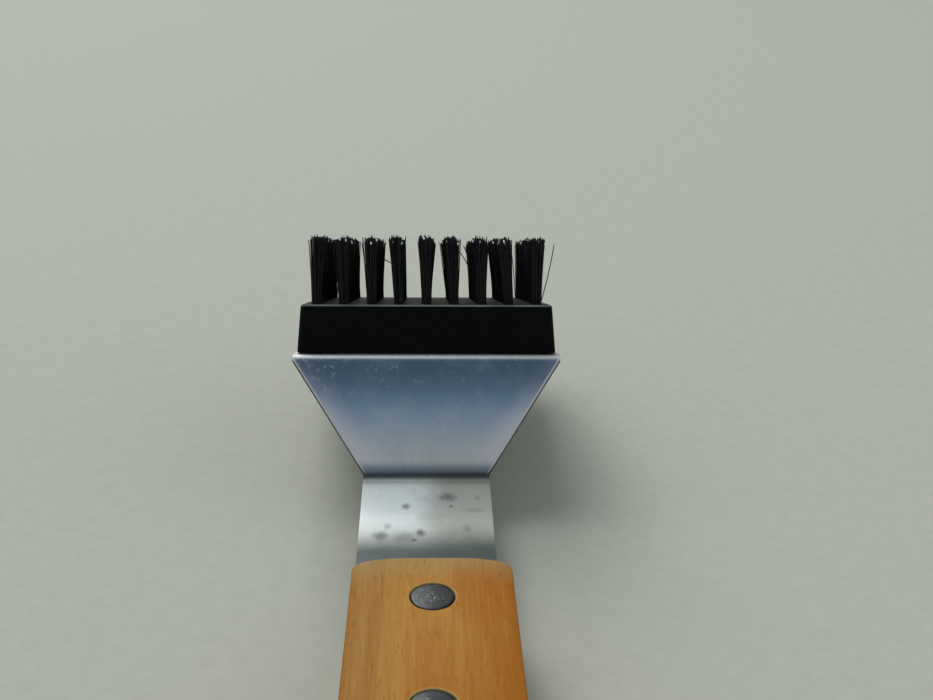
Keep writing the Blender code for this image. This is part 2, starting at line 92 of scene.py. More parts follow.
# Strands that have worked loose in front of the first row: across and up at each end, in millimetres
STRAYS = (
    ((26.8, 0.3), (29.9, 14.2)),
    ((-10.1, 10.6), (-7.2, 8.7)),
    ((9.9, 8.6), (7.4, 12.6)),
    ((9.7, 9.6), (8.6, 13.8)),
)

# How far each column of tufts leans to the right, in millimetres
COLUMN_LEANS = (0.15, -0.25, -0.4, -1.1, -0.3, -0.6, -0.4, -0.95, 0.3)

# How much the tufts differ, and the round holes that they stand in
LEAN_SPREAD = 0.45 * MM
TUFT_LENGTH_SPREAD = 0.5 * MM
HOLE_DEPTH = 1.0 * MM
HOLE_GAP = 0.02 * MM
HOLE_FLARE = 0.12 * MM

# Stops along a strand, the last three of them round its cut end, and how a pale end, which is a painted
# glint, swells there
STRAND_STOPS = (0.0, 0.2, 0.4, 0.6, 0.8, 0.96, 0.98, 1.0)
BEAD_STOPS = 3
BEAD_SWELL = (2.1, 1.4)
BEAD_LIFT = 0.1 * MM

# The strands' chances and shape, and how deep they stand in the block
STRAND_SEED = 11
STRAND_SIDES = 4
STRAND_TAPER = 0.85
STRAND_BOW = 0.12 * MM
STRAND_SINK = 0.9 * MM

# The loose strands' bow, and how far they lie ahead of the first row as a share of a tuft's radius
STRAY_BOW = 0.25 * MM
STRAY_GAP = 1.15

# Parts of the rivets' and the screws' outlines
DOME_SHARES = (0.9, 0.75, 0.55, 0.35, 0.2, 0.1)
DOME_DIMPLE = 0.02 * MM
PIN_END_GAP = 1.0 * MM
SCREW_DOME_STEPS = 12
SLOT_REACH = 0.55
SCREW_FIRST_TURN, SCREW_NEXT_TURN = 0.6, 1.1

# Angles past which an edge is shaded sharp
SHARP_EDGE = math.radians(50)
SHARP_METAL = math.radians(35)
SHARP_STRAND = math.radians(80)

# Lamps: name, setting, size, place and tint
LAMPS = (
    ("key_lamp", "key_power", 1.5, (-0.85, 0.65, 2.25), (1.0, 0.98, 0.95)),
    ("far_lamp", "far_power", 3.2, (-1.8, 5.2, 4.8), (1.0, 0.99, 0.97)),
    ("fill_lamp", "fill_power", 0.8, (0.8, -0.2, 0.7), (0.92, 0.96, 1.0)),
)
ROOM_STRENGTH = 0.66
FLOOR_RADIUS = 4.0

# The photograph's view
SENSOR_WIDTH = 36.0
LENS = 50.186
CAMERA_PLACE = (-0.00042, FRONT_FACE - 0.21562, 0.164)
CAMERA_TURN = (1.1464517, -0.0148905, -0.0283969)


def srgb(red, green, blue):
    """A colour given as it looks on a screen, from 0 to 255, as linear values."""
    values = []
    for value in (red, green, blue):
        part = value / 255
        values.append(part / 12.92 if part <= 0.04045 else ((part + 0.055) / 1.055) ** 2.4)
    return tuple(values)


# Colours that the finishes lay over their main ones
BRUSH_MARKS = (0.30, 0.31, 0.32)
DULL_CLOUDS = (0.36, 0.38, 0.40)
# Painted shade: the shoulder's film darkened towards its top.
SHOULDER_TOP_SHADE = srgb(86, 110, 128)
# Painted shade: the bend strip under the block is painted a duller grey than clean steel.
BEND_STRIP_SHADE = srgb(140, 146, 150)
CREASE_SHEEN = srgb(128, 150, 170)
# Painted shade: the neck's right side painted duller and warmer.
NECK_RIGHT_SHADE = srgb(158, 156, 142)
# Painted shade: the neck darkened next to the handle.
NECK_END_SHADE = srgb(64, 73, 71)
PALE_FLECK = srgb(204, 212, 206)
EDGE_GLINT = srgb(236, 230, 236)
DUST = srgb(28, 30, 30)
STRAND_SHEEN = srgb(44, 44, 45)
CUT_END_SHADE = srgb(150, 152, 150)
# Painted shade: the wood's left side painted duller.
LEFT_WOOD_SHADE = srgb(138, 99, 40)
END_WOOD = srgb(146, 124, 82)
PALE_GRAIN = srgb(192, 146, 84)
# Painted highlight: the wood's chamfer round each rivet catching light.
RIVET_SEAT_HIGHLIGHT = srgb(176, 156, 104)
RIVET_MOTTLE = srgb(41, 43, 45)
# Painted highlight: the rivet heads lighter on their left.
RIVET_SHINE = srgb(82, 85, 86)
# Painted shade: the heads darker towards their rims.
RIVET_RIM_SHADE = srgb(38, 40, 40)
RIVET_SCRATCH = srgb(150, 152, 152)
SCREW_FILM = srgb(138, 140, 142)
FLOOR_SHADE = 0.95

# How the wood's noises are drawn out along the grain, and its dashes: scale, stretch and shift
ALONG_GRAIN = (1.0, 0.05, 1.0)
DASHES = ((1500.0, 0.16, 0.05), (1050.0, 0.22, 0.11))


def length(name, description, millimetres):
    """A property that holds a length."""
    return FloatProperty(
        name=name, description=description, default=millimetres * MM, min=0.0, unit="LENGTH", precision=4
    )


def share(name, description, value):
    """A property that holds a plain number from 0 to 1."""
    return FloatProperty(
        name=name, description=description, default=value, min=0.0, max=1.0, subtype="FACTOR"
    )


def number(name, description, value):
    """A property that holds how many there are of something."""
    return IntProperty(name=name, description=description, default=value, min=1)


def power(name, description, watts):
    """A property that holds a lamp's strength."""
    return FloatProperty(name=name, description=description, default=watts, min=0.0, unit="POWER")


def colour(name, description, value):
    """A property that holds a colour."""
    return FloatVectorProperty(
        name=name, description=description, default=value, min=0.0, max=1.0, size=3, subtype="COLOR"
    )


class GRILLBRUSH_PG_sheet(bpy.types.PropertyGroup):
    """The bent steel sheet."""

    thickness: length("Thickness", "Thickness of the sheet", 1.5)
    tang_length: length("Tang length", "Length of the tang inside the handle", 86.0)
    tang_width: length("Tang width", "Width of the tang inside the handle", 22.0)
    tang_corner: length("Tang corner", "Radius of the tang's tail corners", 5.0)
    neck_width: length("Neck width", "Width of the bare neck", 29.4)
    neck_length: length("Neck length", "From the handle to the crease, on top", 48.2)
    crease_radius: length("Crease radius", "Middle radius of the crease", 2.25)
    shoulder_height: length("Shoulder height", "From the crease to the flange's top", 29.0)
    head_tilt: FloatProperty(
        name="Head tilt",
        description="How far the flange drops towards its rear edge",
        default=math.radians(20.5),
        subtype="ANGLE",
    )
    head_width: length("Head width", "Width of the flange", (PLATE_HIGH.x - PLATE_LOW.x) / MM)
    bend_radius: length("Bend radius", "Middle radius of the bend under the flange", 0.9)
    ledge: length("Ledge", "Bare flange in front of the block", 2.5)
    margin: length("Margin", "Bare flange behind the block", 1.0)
    flange_corner: length("Flange corner", "Radius of the flange's rear corners", 2.5)
    edge_radius: length("Edge radius", "Softening of the sheared edges", 0.18)
    steel: colour("Steel", "Colour of the clean metal", srgb(234, 239, 236))
    # Partly heat tint and partly painted reflection of the dim blue-grey room, laid on the shoulder.
    tint_and_reflection: colour("Haze", "Blue-grey film on the shoulder", srgb(156, 186, 212))
    # Painted highlight: the pale bloom of reflected light low on the shoulder.
    bloom_highlight: colour("Blush", "Paler bloom low on the shoulder", srgb(240, 236, 238))
    stain: colour("Stain", "Colour of the neck's stains", srgb(84, 88, 88))
    # Painted shade: darkens the crease.
    crease_shade: colour("Grime", "Dirt in the crease", srgb(52, 57, 62))
    # Painted shade: the dark line stands for the sheared edge faces turned from the light.
    sheared: colour("Sheared edge", "Dark line along the shoulder's sheared edges", srgb(40, 45, 50))


class GRILLBRUSH_PG_block(bpy.types.PropertyGroup):
    """The moulded block."""

    width: length("Width", "Width of the block at its foot", 60.4)
    depth: length("Depth", "Depth of the block at its foot", 67.0)
    height: length("Height", "Height of the block", 11.2)
    draft: length("Draft", "How far each side leans in towards the deck", 0.8)
    corner_radius: length("Corner radius", "Radius of the upright corners", 1.0)
    edge_radius: length("Edge radius", "Radius round the deck", 0.6)
    plastic: colour("Plastic", "Colour of the plastic", srgb(5, 5, 5))
    # Painted highlight: the pale line along the deck's rounded edge.
    rim_highlight: colour("Rubbed edge", "Plastic rubbed pale round the deck", srgb(112, 122, 120))


class GRILLBRUSH_PG_bristles(bpy.types.PropertyGroup):
    """The tufts of bristles."""

    columns: number("Columns", "Tufts in a row", 9)
    rows: number("Rows", "Rows of tufts", 10)
    pitch: length("Pitch", "Distance between tufts, both ways", 6.5)
    tuft_radius: length("Tuft radius", "Radius of a tuft at the deck", 1.12)
    strand_length: length("Strand length", "Height of the tips above the deck", 15.9)
    strand_radius: length("Strand radius", "Radius of one strand", 0.12)
    strands: number("Strands", "Strands in a tuft", 56)
    spread: FloatProperty(
        name="Spread", description="Width of a tuft's tips against its foot", default=1.55, min=1.0
    )
    pale_share: share("Pale tips", "Share of the strands with a pale cut end", 0.045)
    strand: colour("Strand", "Colour of the strands", srgb(13, 13, 14))
    # Painted highlight: the near-white colour of the glints at some strands' cut ends.
    cut_end: colour("Cut end", "Colour of the pale cut ends", srgb(244, 246, 243))


class GRILLBRUSH_PG_handle(bpy.types.PropertyGroup):
    """The two wooden halves."""

    length: length("Length", "Length of the handle", (HANDLE_HIGH.y - HANDLE_LOW.y) / MM)
    thickness: length("Thickness", "Thickness of both halves together", 22.0)
    front_width: length("Front width", "Width at the neck", 31.4)
    waist_width: length("Waist width", "Width at the waist", 32.1)
    butt_width: length("Butt width", "Width at the butt", 33.0)
    waist_place: length("Waist place", "From the front face to the waist", 55.0)
    flat_width: length("Flat width", "Width of the flat strip along the top", 10.0)
    crown_drop: length("Crown drop", "How far the sides fall below the flat", 1.9)
    front_corner: length("Front corner", "Radius of the front corners", 1.8)
    front_edge: length("Front edge", "Radius of the front edges", 0.5)
    butt_corner: length("Butt corner", "Radius of the butt's corners", 13.0)
    butt_edge: length("Butt edge", "Radius of the butt's edges", 5.0)
    wood: colour("Wood", "Main colour of the beech", srgb(163, 118, 47))
    # Also laid as painted shade on the handle's right half and edges.
    warm_wood: colour("Warm wood", "Warmer bands of the beech", srgb(148, 87, 10))
    fleck: colour("Fleck", "Short dark flecks", srgb(118, 66, 22))


class GRILLBRUSH_PG_rivets(bpy.types.PropertyGroup):
    """The two-piece rivets."""

    count: number("Count", "Rivets along the handle", 3)
    first: length("First", "From the front face to the first rivet", 13.0)
    pitch: length("Pitch", "Distance between rivets", 31.0)
    head_radius: length("Head radius", "Radius of a head", 4.15)
    head_thickness: length("Head thickness", "Thickness of a head", 1.4)
    head_dome: length("Head dome", "Rise of a head's middle", 0.09)
    edge_radius: length("Edge radius", "Softening of a head's edge", 0.3)
    recess: length("Recess", "How deep a head lies in the wood", 0.1)
    tube_radius: length("Tube radius", "Radius of the lower half's tube", 2.6)
    pin_radius: length("Pin radius", "Radius of the upper half's pin", 1.4)
    seat_chamfer: length("Seat chamfer", "Chamfer of the wood round a head", 0.3)
    steel: colour("Steel", "Colour of the rivets", srgb(50, 52, 53))


class GRILLBRUSH_PG_screws(bpy.types.PropertyGroup):
    """The screws behind the flange."""

    span: length("Span", "Distance between the screws, both ways", 39.0)
    radius: length("Radius", "Radius of a shank", 1.6)
    head_radius: length("Head radius", "Radius of a head", 3.0)
    head_height: length("Head height", "Height of a head", 2.0)
    head_rim: length("Head rim", "Upright part of a head", 0.5)
    reach: length("Reach", "How far a screw goes into the block", 6.0)
    point: length("Point", "Length of a screw's point", 1.5)
    slot_width: length("Slot width", "Width of the cross slots", 0.8)
    slot_depth: length("Slot depth", "Depth of the cross slots", 1.1)
    steel: colour("Steel", "Colour of the screws", srgb(190, 191, 190))


class GRILLBRUSH_PG_stage(bpy.types.PropertyGroup):
    """The floor, the lights and the camera."""

    floor: colour("Floor", "Colour of the floor", srgb(168, 171, 161))
    overhead: colour("Overhead", "Colour of the light from above", srgb(236, 240, 240))
    behind: colour("Behind", "Colour of the room behind the camera", srgb(174, 184, 197))
    key_power: power("Key", "Strength of the key lamp", 24.0)
    far_power: power("Far", "Strength of the far lamp", 200.0)
    fill_power: power("Fill", "Strength of the fill lamp", 0.7)


class GRILLBRUSH_PG_brush(bpy.types.PropertyGroup):
    """All the brush's settings."""

    sheet: PointerProperty(type=GRILLBRUSH_PG_sheet)
    block: PointerProperty(type=GRILLBRUSH_PG_block)
    bristles: PointerProperty(type=GRILLBRUSH_PG_bristles)
    handle: PointerProperty(type=GRILLBRUSH_PG_handle)
    rivets: PointerProperty(type=GRILLBRUSH_PG_rivets)
    screws: PointerProperty(type=GRILLBRUSH_PG_screws)
    stage: PointerProperty(type=GRILLBRUSH_PG_stage)


class Value:
    """A number in a shader, to be worked with as plain numbers are."""

    def __init__(self, nodes, socket):
        self.nodes = nodes
        self.socket = socket

    def maths(self, operation, *others):
        """The result of a Math node."""
        made = self.nodes.node("ShaderNodeMath", operation=operation)
        for socket, value in zip(made.inputs, (self, *others)):
            self.nodes.feed(socket, value)
        return Value(self.nodes, made.outputs[0])

    def __add__(self, other):
        return self.maths("ADD", other)

    def __sub__(self, other):
        return self.maths("SUBTRACT", other)

    def __mul__(self, other):
        return self.maths("MULTIPLY", other)

    def __truediv__(self, other):
        return self.maths("DIVIDE", other)

    def __abs__(self):
        return self.maths("ABSOLUTE")

    def __radd__(self, other):
        return self + other

    def __rsub__(self, other):
        return self * -1.0 + other

    def at_least(self, other):
        """This value or the other, whichever is more."""
        return self.maths("MAXIMUM", other)

    def at_most(self, other):
        """This value or the other, whichever is less."""
        return self.maths("MINIMUM", other)

    def step(self, low, high, start=0.0, end=1.0):
        """A soft step from start at low to end at high."""
        made = self.nodes.node("ShaderNodeMapRange", interpolation_type="SMOOTHSTEP")
        names = ("Value", "From Min", "From Max", "To Min", "To Max")
        return Value(self.nodes, self.nodes.fill(made, dict(zip(names, (self, low, high, start, end)))))

    def ramp(self, low, high, start=0.0, end=1.0):
        """A soft step over a length, with low and high in millimetres."""
        return self.step(low * MM, high * MM, start, end)


def hypotenuse(first, second):
    """How far away two steps at right angles lead."""
    return (first * first + second * second).maths("SQRT")


class Nodes:
    """A node tree, built one node at a time."""

    def __init__(self, tree, coordinates):
        self.tree = tree
        self.place = self.node("ShaderNodeTexCoord").outputs[coordinates]

    def node(self, kind, **settings):
        """A node with some of its settings."""
        made = self.tree.nodes.new(kind)
        for name, value in settings.items():
            setattr(made, name, value)
        return made

    def feed(self, socket, value):
        """Links an output to an input, or sets the input to a plain value."""
        if isinstance(value, Value):
            value = value.socket
        if isinstance(value, bpy.types.NodeSocket):
            self.tree.links.new(value, socket)
        elif hasattr(value, "__len__") and len(socket.default_value) == 4:
            socket.default_value = (*value[:3], 1.0)
        else:
            socket.default_value = value

    def fill(self, made, inputs):
        """Feeds a node's inputs by their names, and gives its first output."""
        for name, value in inputs.items():
            self.feed(made.inputs[name], value)
        return made.outputs[0]

    def mixed(self, amount, first, second):
        """Two colours mixed."""
        made = self.node("ShaderNodeMix", data_type="RGBA")
        sockets = [socket for socket in made.inputs if socket.enabled]
        for socket, value in zip(sockets, (amount, first, second)):
            self.feed(socket, value)
        return next(socket for socket in made.outputs if socket.enabled)

    def axes(self):
        """The X, Y and Z of the coordinates."""
        made = self.node("ShaderNodeSeparateXYZ")
        self.feed(made.inputs[0], self.place)
        return [Value(self, socket) for socket in made.outputs]


class Finish(Nodes):
    """A material whose colour is laid on in coats."""

    def __init__(self, name, base, metallic=0.0, specular=0.5):
        self.material = bpy.data.materials.new(name)
        self.material.use_nodes = True
        super().__init__(self.material.node_tree, "Object")
        self.surface = self.tree.nodes["Principled BSDF"]
        self.surface.inputs["Metallic"].default_value = metallic
        self.surface.inputs["Specular IOR Level"].default_value = specular
        self.base = base

    def noise(self, scale, detail=2.0, roughness=0.5, distortion=0.0, stretch=(1, 1, 1), shift=(0, 0, 0)):
        """A smooth noise from about 0.2 to 0.8, in coordinates that are scaled and shifted first."""
        mapping = self.node("ShaderNodeMapping")
        vector = self.fill(mapping, {"Vector": self.place, "Scale": stretch, "Location": shift})
        made = self.node("ShaderNodeTexNoise")
        names = ("Vector", "Scale", "Detail", "Roughness", "Distortion")
        values = (vector, scale, detail, roughness, distortion)
        return Value(self, self.fill(made, dict(zip(names, values))))

    def coat(self, amount, paint):
        """Lays a colour over the ones before it."""
        self.base = self.mixed(amount, self.base, paint)

    def bump(self, height, depth, strength=1.0, under=None):
        """Relief of a depth in millimetres, over another if one is given."""
        made = self.node("ShaderNodeBump")
        relief = self.fill(made, {"Height": height, "Distance": depth * MM, "Strength": strength})
        if under:
            self.feed(made.inputs["Normal"], under)
        return relief

    def done(self, roughness, normal=None):
        """Feeds the surface and returns the material."""
        self.fill(self.surface, {"Base Color": self.base, "Roughness": roughness})
        if normal:
            self.feed(self.surface.inputs["Normal"], normal)
        return self.material


def sheet_finish(settings):
    """Brushed stainless sheet with a blue-grey film on the shoulder, partly heat tint and partly painted
    reflection, grey stains on the neck, and painted shade and highlights on shoulder, neck and crease.
    """
    sheet = settings.sheet
    finish = Finish("sheet_steel", sheet.steel, metallic=1.0)
    across, along, up = finish.axes()
    ahead = along - FRONT_FACE
    height = shoulder_rise(settings, along, up)
    brushing = finish.noise(900.0, 3.0, 0.6, stretch=(6.0, 0.25, 0.25))
    cloud = finish.noise(130.0, 3.0, 0.6, 0.4)
    finish.coat(brushing.step(0.3, 0.7, 0.0, 0.1), BRUSH_MARKS)
    finish.coat(cloud.step(0.45, 0.7, 0.0, 0.12), DULL_CLOUDS)
    coat_shoulder(finish, sheet, across, height, cloud)
    coat_neck(finish, across, ahead, height, cloud, brushing)
    stains = coat_stains(finish, sheet, across, ahead, height)
    coat_flecks(finish, across, height)
    coat_edges(finish, settings, across, height)
    crease_shade = coat_crease(finish, sheet, ahead, height)
    rough = brushing.step(0.2, 0.8, 0.42, 0.52) + stains * 0.15 + crease_shade * 0.25
    return finish.done(rough, finish.bump(brushing, 0.008))


def shoulder_rise(settings, along, up):
    """How high a point lies above the neck, or nothing where it is on the flange."""
    _, (corner_along, _) = walk_sheet(settings)
    front = (along - corner_along).ramp(1.2, 2.4, 1.0, 0.0)
    return (up - (SPLIT_HEIGHT + settings.sheet.thickness / 2)) * front


def coat_shoulder(finish, sheet, across, height, cloud):
    """Paints the shoulder: the blue-grey film, partly painted reflection, with painted shade darker
    towards the bend, the bend strip in a painted duller grey, a painted pale bloom at its sides and foot,
    and a painted dark-blue reflection just above the crease.
    """
    bend = height.ramp(26.1, 26.4)
    # The shoulder's blue-grey film: partly heat tint, partly painted reflection of the dim room.
    film = height.ramp(1.0, 19.0) * cloud.step(0.25, 0.65, 0.78, 1.0) * (1.0 - bend)
    finish.coat(film, sheet.tint_and_reflection)
    # Painted shade: the film is darkened towards the top of the shoulder.
    finish.coat(film * height.ramp(12.0, 25.0, 0.0, 0.85), SHOULDER_TOP_SHADE)
    # Painted shade: the bend strip painted a duller grey.
    finish.coat(bend * 0.9, BEND_STRIP_SHADE)
    # Painted highlight: a pale bloom of reflected light at the shoulder's sides and foot.
    side = abs(across) - height * 0.72
    bloom = side.ramp(5.0, 15.0) * height.ramp(1.0, 5.0) * height.ramp(24.0, 9.0, 0.1, 0.95)
    finish.coat(bloom, sheet.bloom_highlight)
    finish.coat(height.ramp(4.6, 1.6) * height.ramp(0.2, 0.8, 0.0, 0.75), CREASE_SHEEN)


def coat_neck(finish, across, ahead, height, cloud, brushing):
    """Painted shade on the neck: a duller right side, and a darker end next to the handle."""
    # Painted shade on the neck's right side.
    right = (across + cloud * (8.0 * MM)).ramp(0.0, 10.0, 0.0, 0.7)
    finish.coat(right * height.ramp(0.2, 2.0, 1.0, 0.0), NECK_RIGHT_SHADE)
    # Painted shade: the neck darkened towards the handle.
    near_handle = ahead + cloud * (3.0 * MM) + brushing * (1.5 * MM)
    finish.coat(near_handle.ramp(33.0, 19.0, 0.0, 0.95), NECK_END_SHADE)


def coat_stains(finish, sheet, across, ahead, height):
    """The neck's blurred stains, whose strength is returned."""
    ragged = (finish.noise(900.0, 3.0, 0.65) - 0.5) * 1.6
    total = 0.0
    for stain_across, stain_ahead, half_across, half_ahead, strength in STAINS:
        side = (across - stain_across * MM) / (half_across * MM)
        fore = (ahead - stain_ahead * MM) / (half_ahead * MM)
        total += (hypotenuse(side, fore) + ragged).step(0.2, 1.9, strength, 0.0)
    total *= height.ramp(0.3, 1.0, 1.0, 0.0)
    finish.coat(total.at_most(0.9), sheet.stain)
    return total


def coat_flecks(finish, across, height):
    """Pale flecks on the shoulder's film, in patches and mostly on the left."""
    flecks = finish.noise(620.0, 5.0, 0.75, shift=(0.02, 0.0, 0.0))
    patches = finish.noise(150.0, 2.0, 0.5, shift=(0.0, 0.03, 0.0))
    found = flecks.step(0.53, 0.68) * patches.step(0.43, 0.58) * across.ramp(12.0, -12.0, 0.25, 0.9)
    film = height.ramp(1.0, 16.0) * height.ramp(26.0, 26.4, 1.0, 0.0)
    finish.coat(found * film * 0.8, PALE_FLECK)


def coat_edges(finish, settings, across, height):
    """Painted shade as a dark line along the shoulder's sheared edges, with a painted glint beside it."""
    inside = edge_distance(settings, across, height)
    shoulder = height.ramp(0.6, 1.4) * height.ramp(26.4, 26.0)
    # Painted highlight: a glint just inside the slanted edges.
    glint = inside.ramp(0.3, 0.5) * inside.ramp(1.2, 0.55, 0.0, 0.9)
    finish.coat(glint * shoulder, EDGE_GLINT)
    # Painted shade along the sheared edges.
    finish.coat(inside.ramp(0.24, 0.42, 0.95, 0.0) * shoulder, settings.sheet.sheared)


def edge_distance(settings, across, height):
    """How far inside the shoulder's slanted edges a point lies."""
    sheet = settings.sheet
    walk, _ = walk_sheet(settings)
    half_neck = sheet.neck_width / 2
    narrow_rows = [
        index for index, row in enumerate(walk.rows) if row[2] <= half_neck and row[0] > FRONT_FACE
    ]
    (_, low, narrow), (_, high, wide) = walk.rows[narrow_rows[-1]], walk.rows[narrow_rows[-1] + 1]
    lift = sheet.thickness / 2 * (1 - math.sin(sheet.head_tilt))
    rise = height - (low - lift - SPLIT_HEIGHT)
    return rise * ((wide - narrow) / (high - low)) + half_neck - abs(across)


def coat_crease(finish, sheet, ahead, height):
    """Painted shade that darkens the crease, whose strength is returned."""
    reach = hypotenuse(ahead - sheet.neck_length, height - 0.7 * MM)
    crease_shade = reach.ramp(0.2, 2.1, 0.85, 0.0).at_least(reach.ramp(1.0, 3.2, 0.38, 0.0))
    finish.coat(crease_shade, sheet.crease_shade)
    return crease_shade


def plastic_finish(settings):
    """Satin moulded plastic, near black, with a painted highlight round the deck's edge."""
    block = settings.block
    finish = Finish("black_plastic", block.plastic, specular=0.09)
    _, along, up = finish.axes()
    head = head_frame(settings)
    origin, normal = head.translation, head.to_3x3() @ Vector((0.0, 0.0, 1.0))
    rise = (along - origin.y) * normal.y + (up - origin.z) * normal.z
    below_deck = CLEARANCE + block.height - rise
    skin = finish.noise(2600.0, 2.0, 0.6)
    cloud = finish.noise(110.0, 3.0, 0.6, 0.6)
    dust = finish.noise(420.0, 4.0, 0.75, 1.0).step(0.56, 0.8, 0.0, 0.35)
    finish.coat(dust, DUST)
    # Painted highlight along the deck's rounded edge.
    edge = below_deck.ramp(0.55, 0.3) * below_deck.ramp(0.12, 0.02, 1.0, 0.03)
    finish.coat(edge * cloud.step(0.3, 0.65, 0.45, 0.85), block.rim_highlight)
    rough = cloud.step(0.3, 0.7, 0.46, 0.6) + dust * 0.2
    return finish.done(rough, finish.bump(skin, 0.02, 0.6))


def strand_finish(bristles):
    """Stiff black filament."""
    finish = Finish("bristle", bristles.strand, specular=0.3)
    shade = finish.noise(2500.0, 1.0, stretch=(1.0, 1.0, 0.15))
    finish.coat(shade.step(0.35, 0.75, 0.0, 0.6), STRAND_SHEEN)
    return finish.done(shade.step(0.3, 0.7, 0.45, 0.62))


def cut_end_finish(bristles):
    """Painted glints: the near-white cut ends of some strands."""
    finish = Finish("bristle_cut_end", bristles.cut_end, specular=0.8)
    shade = finish.noise(3000.0, 1.0)
    finish.coat(shade.step(0.5, 0.75, 0.0, 0.6), CUT_END_SHADE)
    return finish.done(shade.step(0.3, 0.7, 0.2, 0.3))


def wood_finish(handle, rivets):
    """Sanded beech: lengthwise grain, warmer bands, short dark flecks, painted shade on its sides and
    painted highlight rings round the rivets.
    """
    finish = Finish("beech", handle.wood, specular=0.1)
    across, along, up = finish.axes()
    side = across - HANDLE_MIDDLE
    bands = finish.noise(230.0, 3.0, 0.6, 0.5, stretch=ALONG_GRAIN)
    grain = finish.noise(1700.0, 3.0, 0.6, stretch=ALONG_GRAIN)
    finish.coat(bands.step(0.36, 0.68, 0.0, 0.7), handle.warm_wood)
    coat_verges(finish, handle, side, along, bands)
    finish.coat(grain.step(0.5, 0.72, 0.0, 0.16), handle.fleck)
    finish.coat(grain.step(0.28, 0.46, 0.14, 0.0), PALE_GRAIN)
    long_dashes, short_dashes = [
        finish.noise(scale, stretch=(1.0, stretch, 1.0), shift=(0.0, shift, 0.0)).step(0.58, 0.74)
        for scale, stretch, shift in DASHES
    ]
    flecks = long_dashes.at_least(short_dashes)
    finish.coat(flecks * 0.3, handle.fleck)
    reach = rivet_distance(rivets, side, along)
    depth = handle.thickness / 2 - abs(up - SPLIT_HEIGHT)
    # Painted highlight on the chamfer round each rivet.
    ring = reach.step(1.0, 1.04) * reach.step(1.14, 1.06) * depth.ramp(1.0, 0.6)
    finish.coat(ring * bands.step(0.35, 0.6, 0.25, 0.75), RIVET_SEAT_HIGHLIGHT)
    rough = grain.step(0.3, 0.7, 0.46, 0.6) + flecks * 0.08
    return finish.done(rough, finish.bump(flecks, -0.03, 0.5, finish.bump(grain, 0.02, 0.6)))


def coat_verges(finish, handle, side, along, bands):
    """Painted shade on the wood: a warmer, darker right half and edges and a duller left side; also a
    paler front end.
    """
    cloud = finish.noise(90.0, 3.0, 0.6, stretch=(1.0, 0.3, 1.0), shift=(0.1, 0.0, 0.0))
    # Painted shade: the right half painted warmer and darker.
    finish.coat((side * 32.0 + cloud).step(0.5, 1.0, 0.0, 0.8), handle.warm_wood)
    # Painted shade: the edges painted warmer.
    verge = abs(side) + (bands - 0.5) * (6.0 * MM)
    finish.coat(verge.ramp(11.0, 15.0, 0.0, 0.7), handle.warm_wood)
    # Painted shade: the left side painted duller.
    finish.coat(side.ramp(-5.0, -13.0, 0.0, 0.6), LEFT_WOOD_SHADE)
    end = along - FRONT_FACE + cloud * (2.0 * MM)
    finish.coat(end.ramp(-9.0, 3.0, 0.0, 0.75), END_WOOD)


def rivet_distance(rivets, side, along):
    """How far a point lies from the nearest rivet's axis, as a share of a head's radius."""
    place = (along - (FRONT_FACE - rivets.first)) / rivets.pitch
    nearest = place.maths("ROUND").at_least(1.0 - rivets.count)
    return hypotenuse((place - nearest) * rivets.pitch, side) / rivets.head_radius


def rivet_finish(rivets):
    """Dull mottled steel with a painted highlight on its left, painted shade darker towards the rim, and
    fine scratches at the middle.
    """
    finish = Finish("rivet_steel", rivets.steel, metallic=1.0)
    across, along, _ = finish.axes()
    side = across - HANDLE_MIDDLE
    reach = rivet_distance(rivets, side, along)
    mottle = finish.noise(800.0, 4.0, 0.7, 0.5)
    fine = finish.noise(3200.0, 2.0, 0.6)
    scratch = finish.noise(1100.0, 2.0, 0.5, 1.2, stretch=(0.5, 2.6, 1.0)).step(0.6, 0.7)
    scratch *= reach.step(0.65, 0.15, 0.2, 0.75)
    finish.coat(mottle.step(0.38, 0.66, 0.0, 0.6), RIVET_MOTTLE)
    # Painted highlight on the head's left side.
    finish.coat(side.ramp(1.5, -3.5, 0.0, 0.6), RIVET_SHINE)
    # Painted shade towards the rim.
    finish.coat(reach.step(0.7, 1.0, 0.0, 0.5), RIVET_RIM_SHADE)
    finish.coat(scratch, RIVET_SCRATCH)
    rough = mottle.step(0.35, 0.7, 0.34, 0.52) - scratch * 0.08
    return finish.done(rough, finish.bump(mottle, 0.06, 0.6, finish.bump(fine, 0.02, 0.7)))


def screw_finish(screws):
    """Plain plated steel."""
    finish = Finish("screw_steel", screws.steel, metallic=1.0)
    film = finish.noise(600.0, 3.0, 0.6)
    finish.coat(film.step(0.4, 0.7, 0.0, 0.5), SCREW_FILM)
    return finish.done(film.step(0.3, 0.7, 0.26, 0.42), finish.bump(film, 0.02, 0.5))


def floor_finish(stage):
    """A plain pale floor with a very fine grain."""
    finish = Finish("floor", stage.floor, specular=0.2)
    grain = finish.noise(260.0, 4.0, 0.6)
    finish.coat(grain.step(0.3, 0.7), tuple(value * FLOOR_SHADE for value in stage.floor))
    return finish.done(0.85, finish.bump(grain, 0.4, 0.25))


def mesh_from(build, name):
    """The mesh of a bmesh, which is freed."""
    mesh = bpy.data.meshes.new(name)
    build.to_mesh(mesh)
    build.free()
    return mesh


def round_edges(build, edges, radius, segments):
    """Rounds some edges of a bmesh."""
    bmesh.ops.bevel(build, geom=edges, offset=radius, segments=segments, profile=0.5, affect="EDGES")


def linked(name, mesh):
    """An object in the scene."""
    obj = bpy.data.objects.new(name, mesh)
    bpy.context.scene.collection.objects.link(obj)
    return obj


def cut(obj, cutter):
    """Takes a cutter's shape away from an object."""
    modifier = obj.modifiers.new(cutter.name, "BOOLEAN")
    modifier.object = cutter
    modifier.operation = "DIFFERENCE"
    modifier.solver = "EXACT"


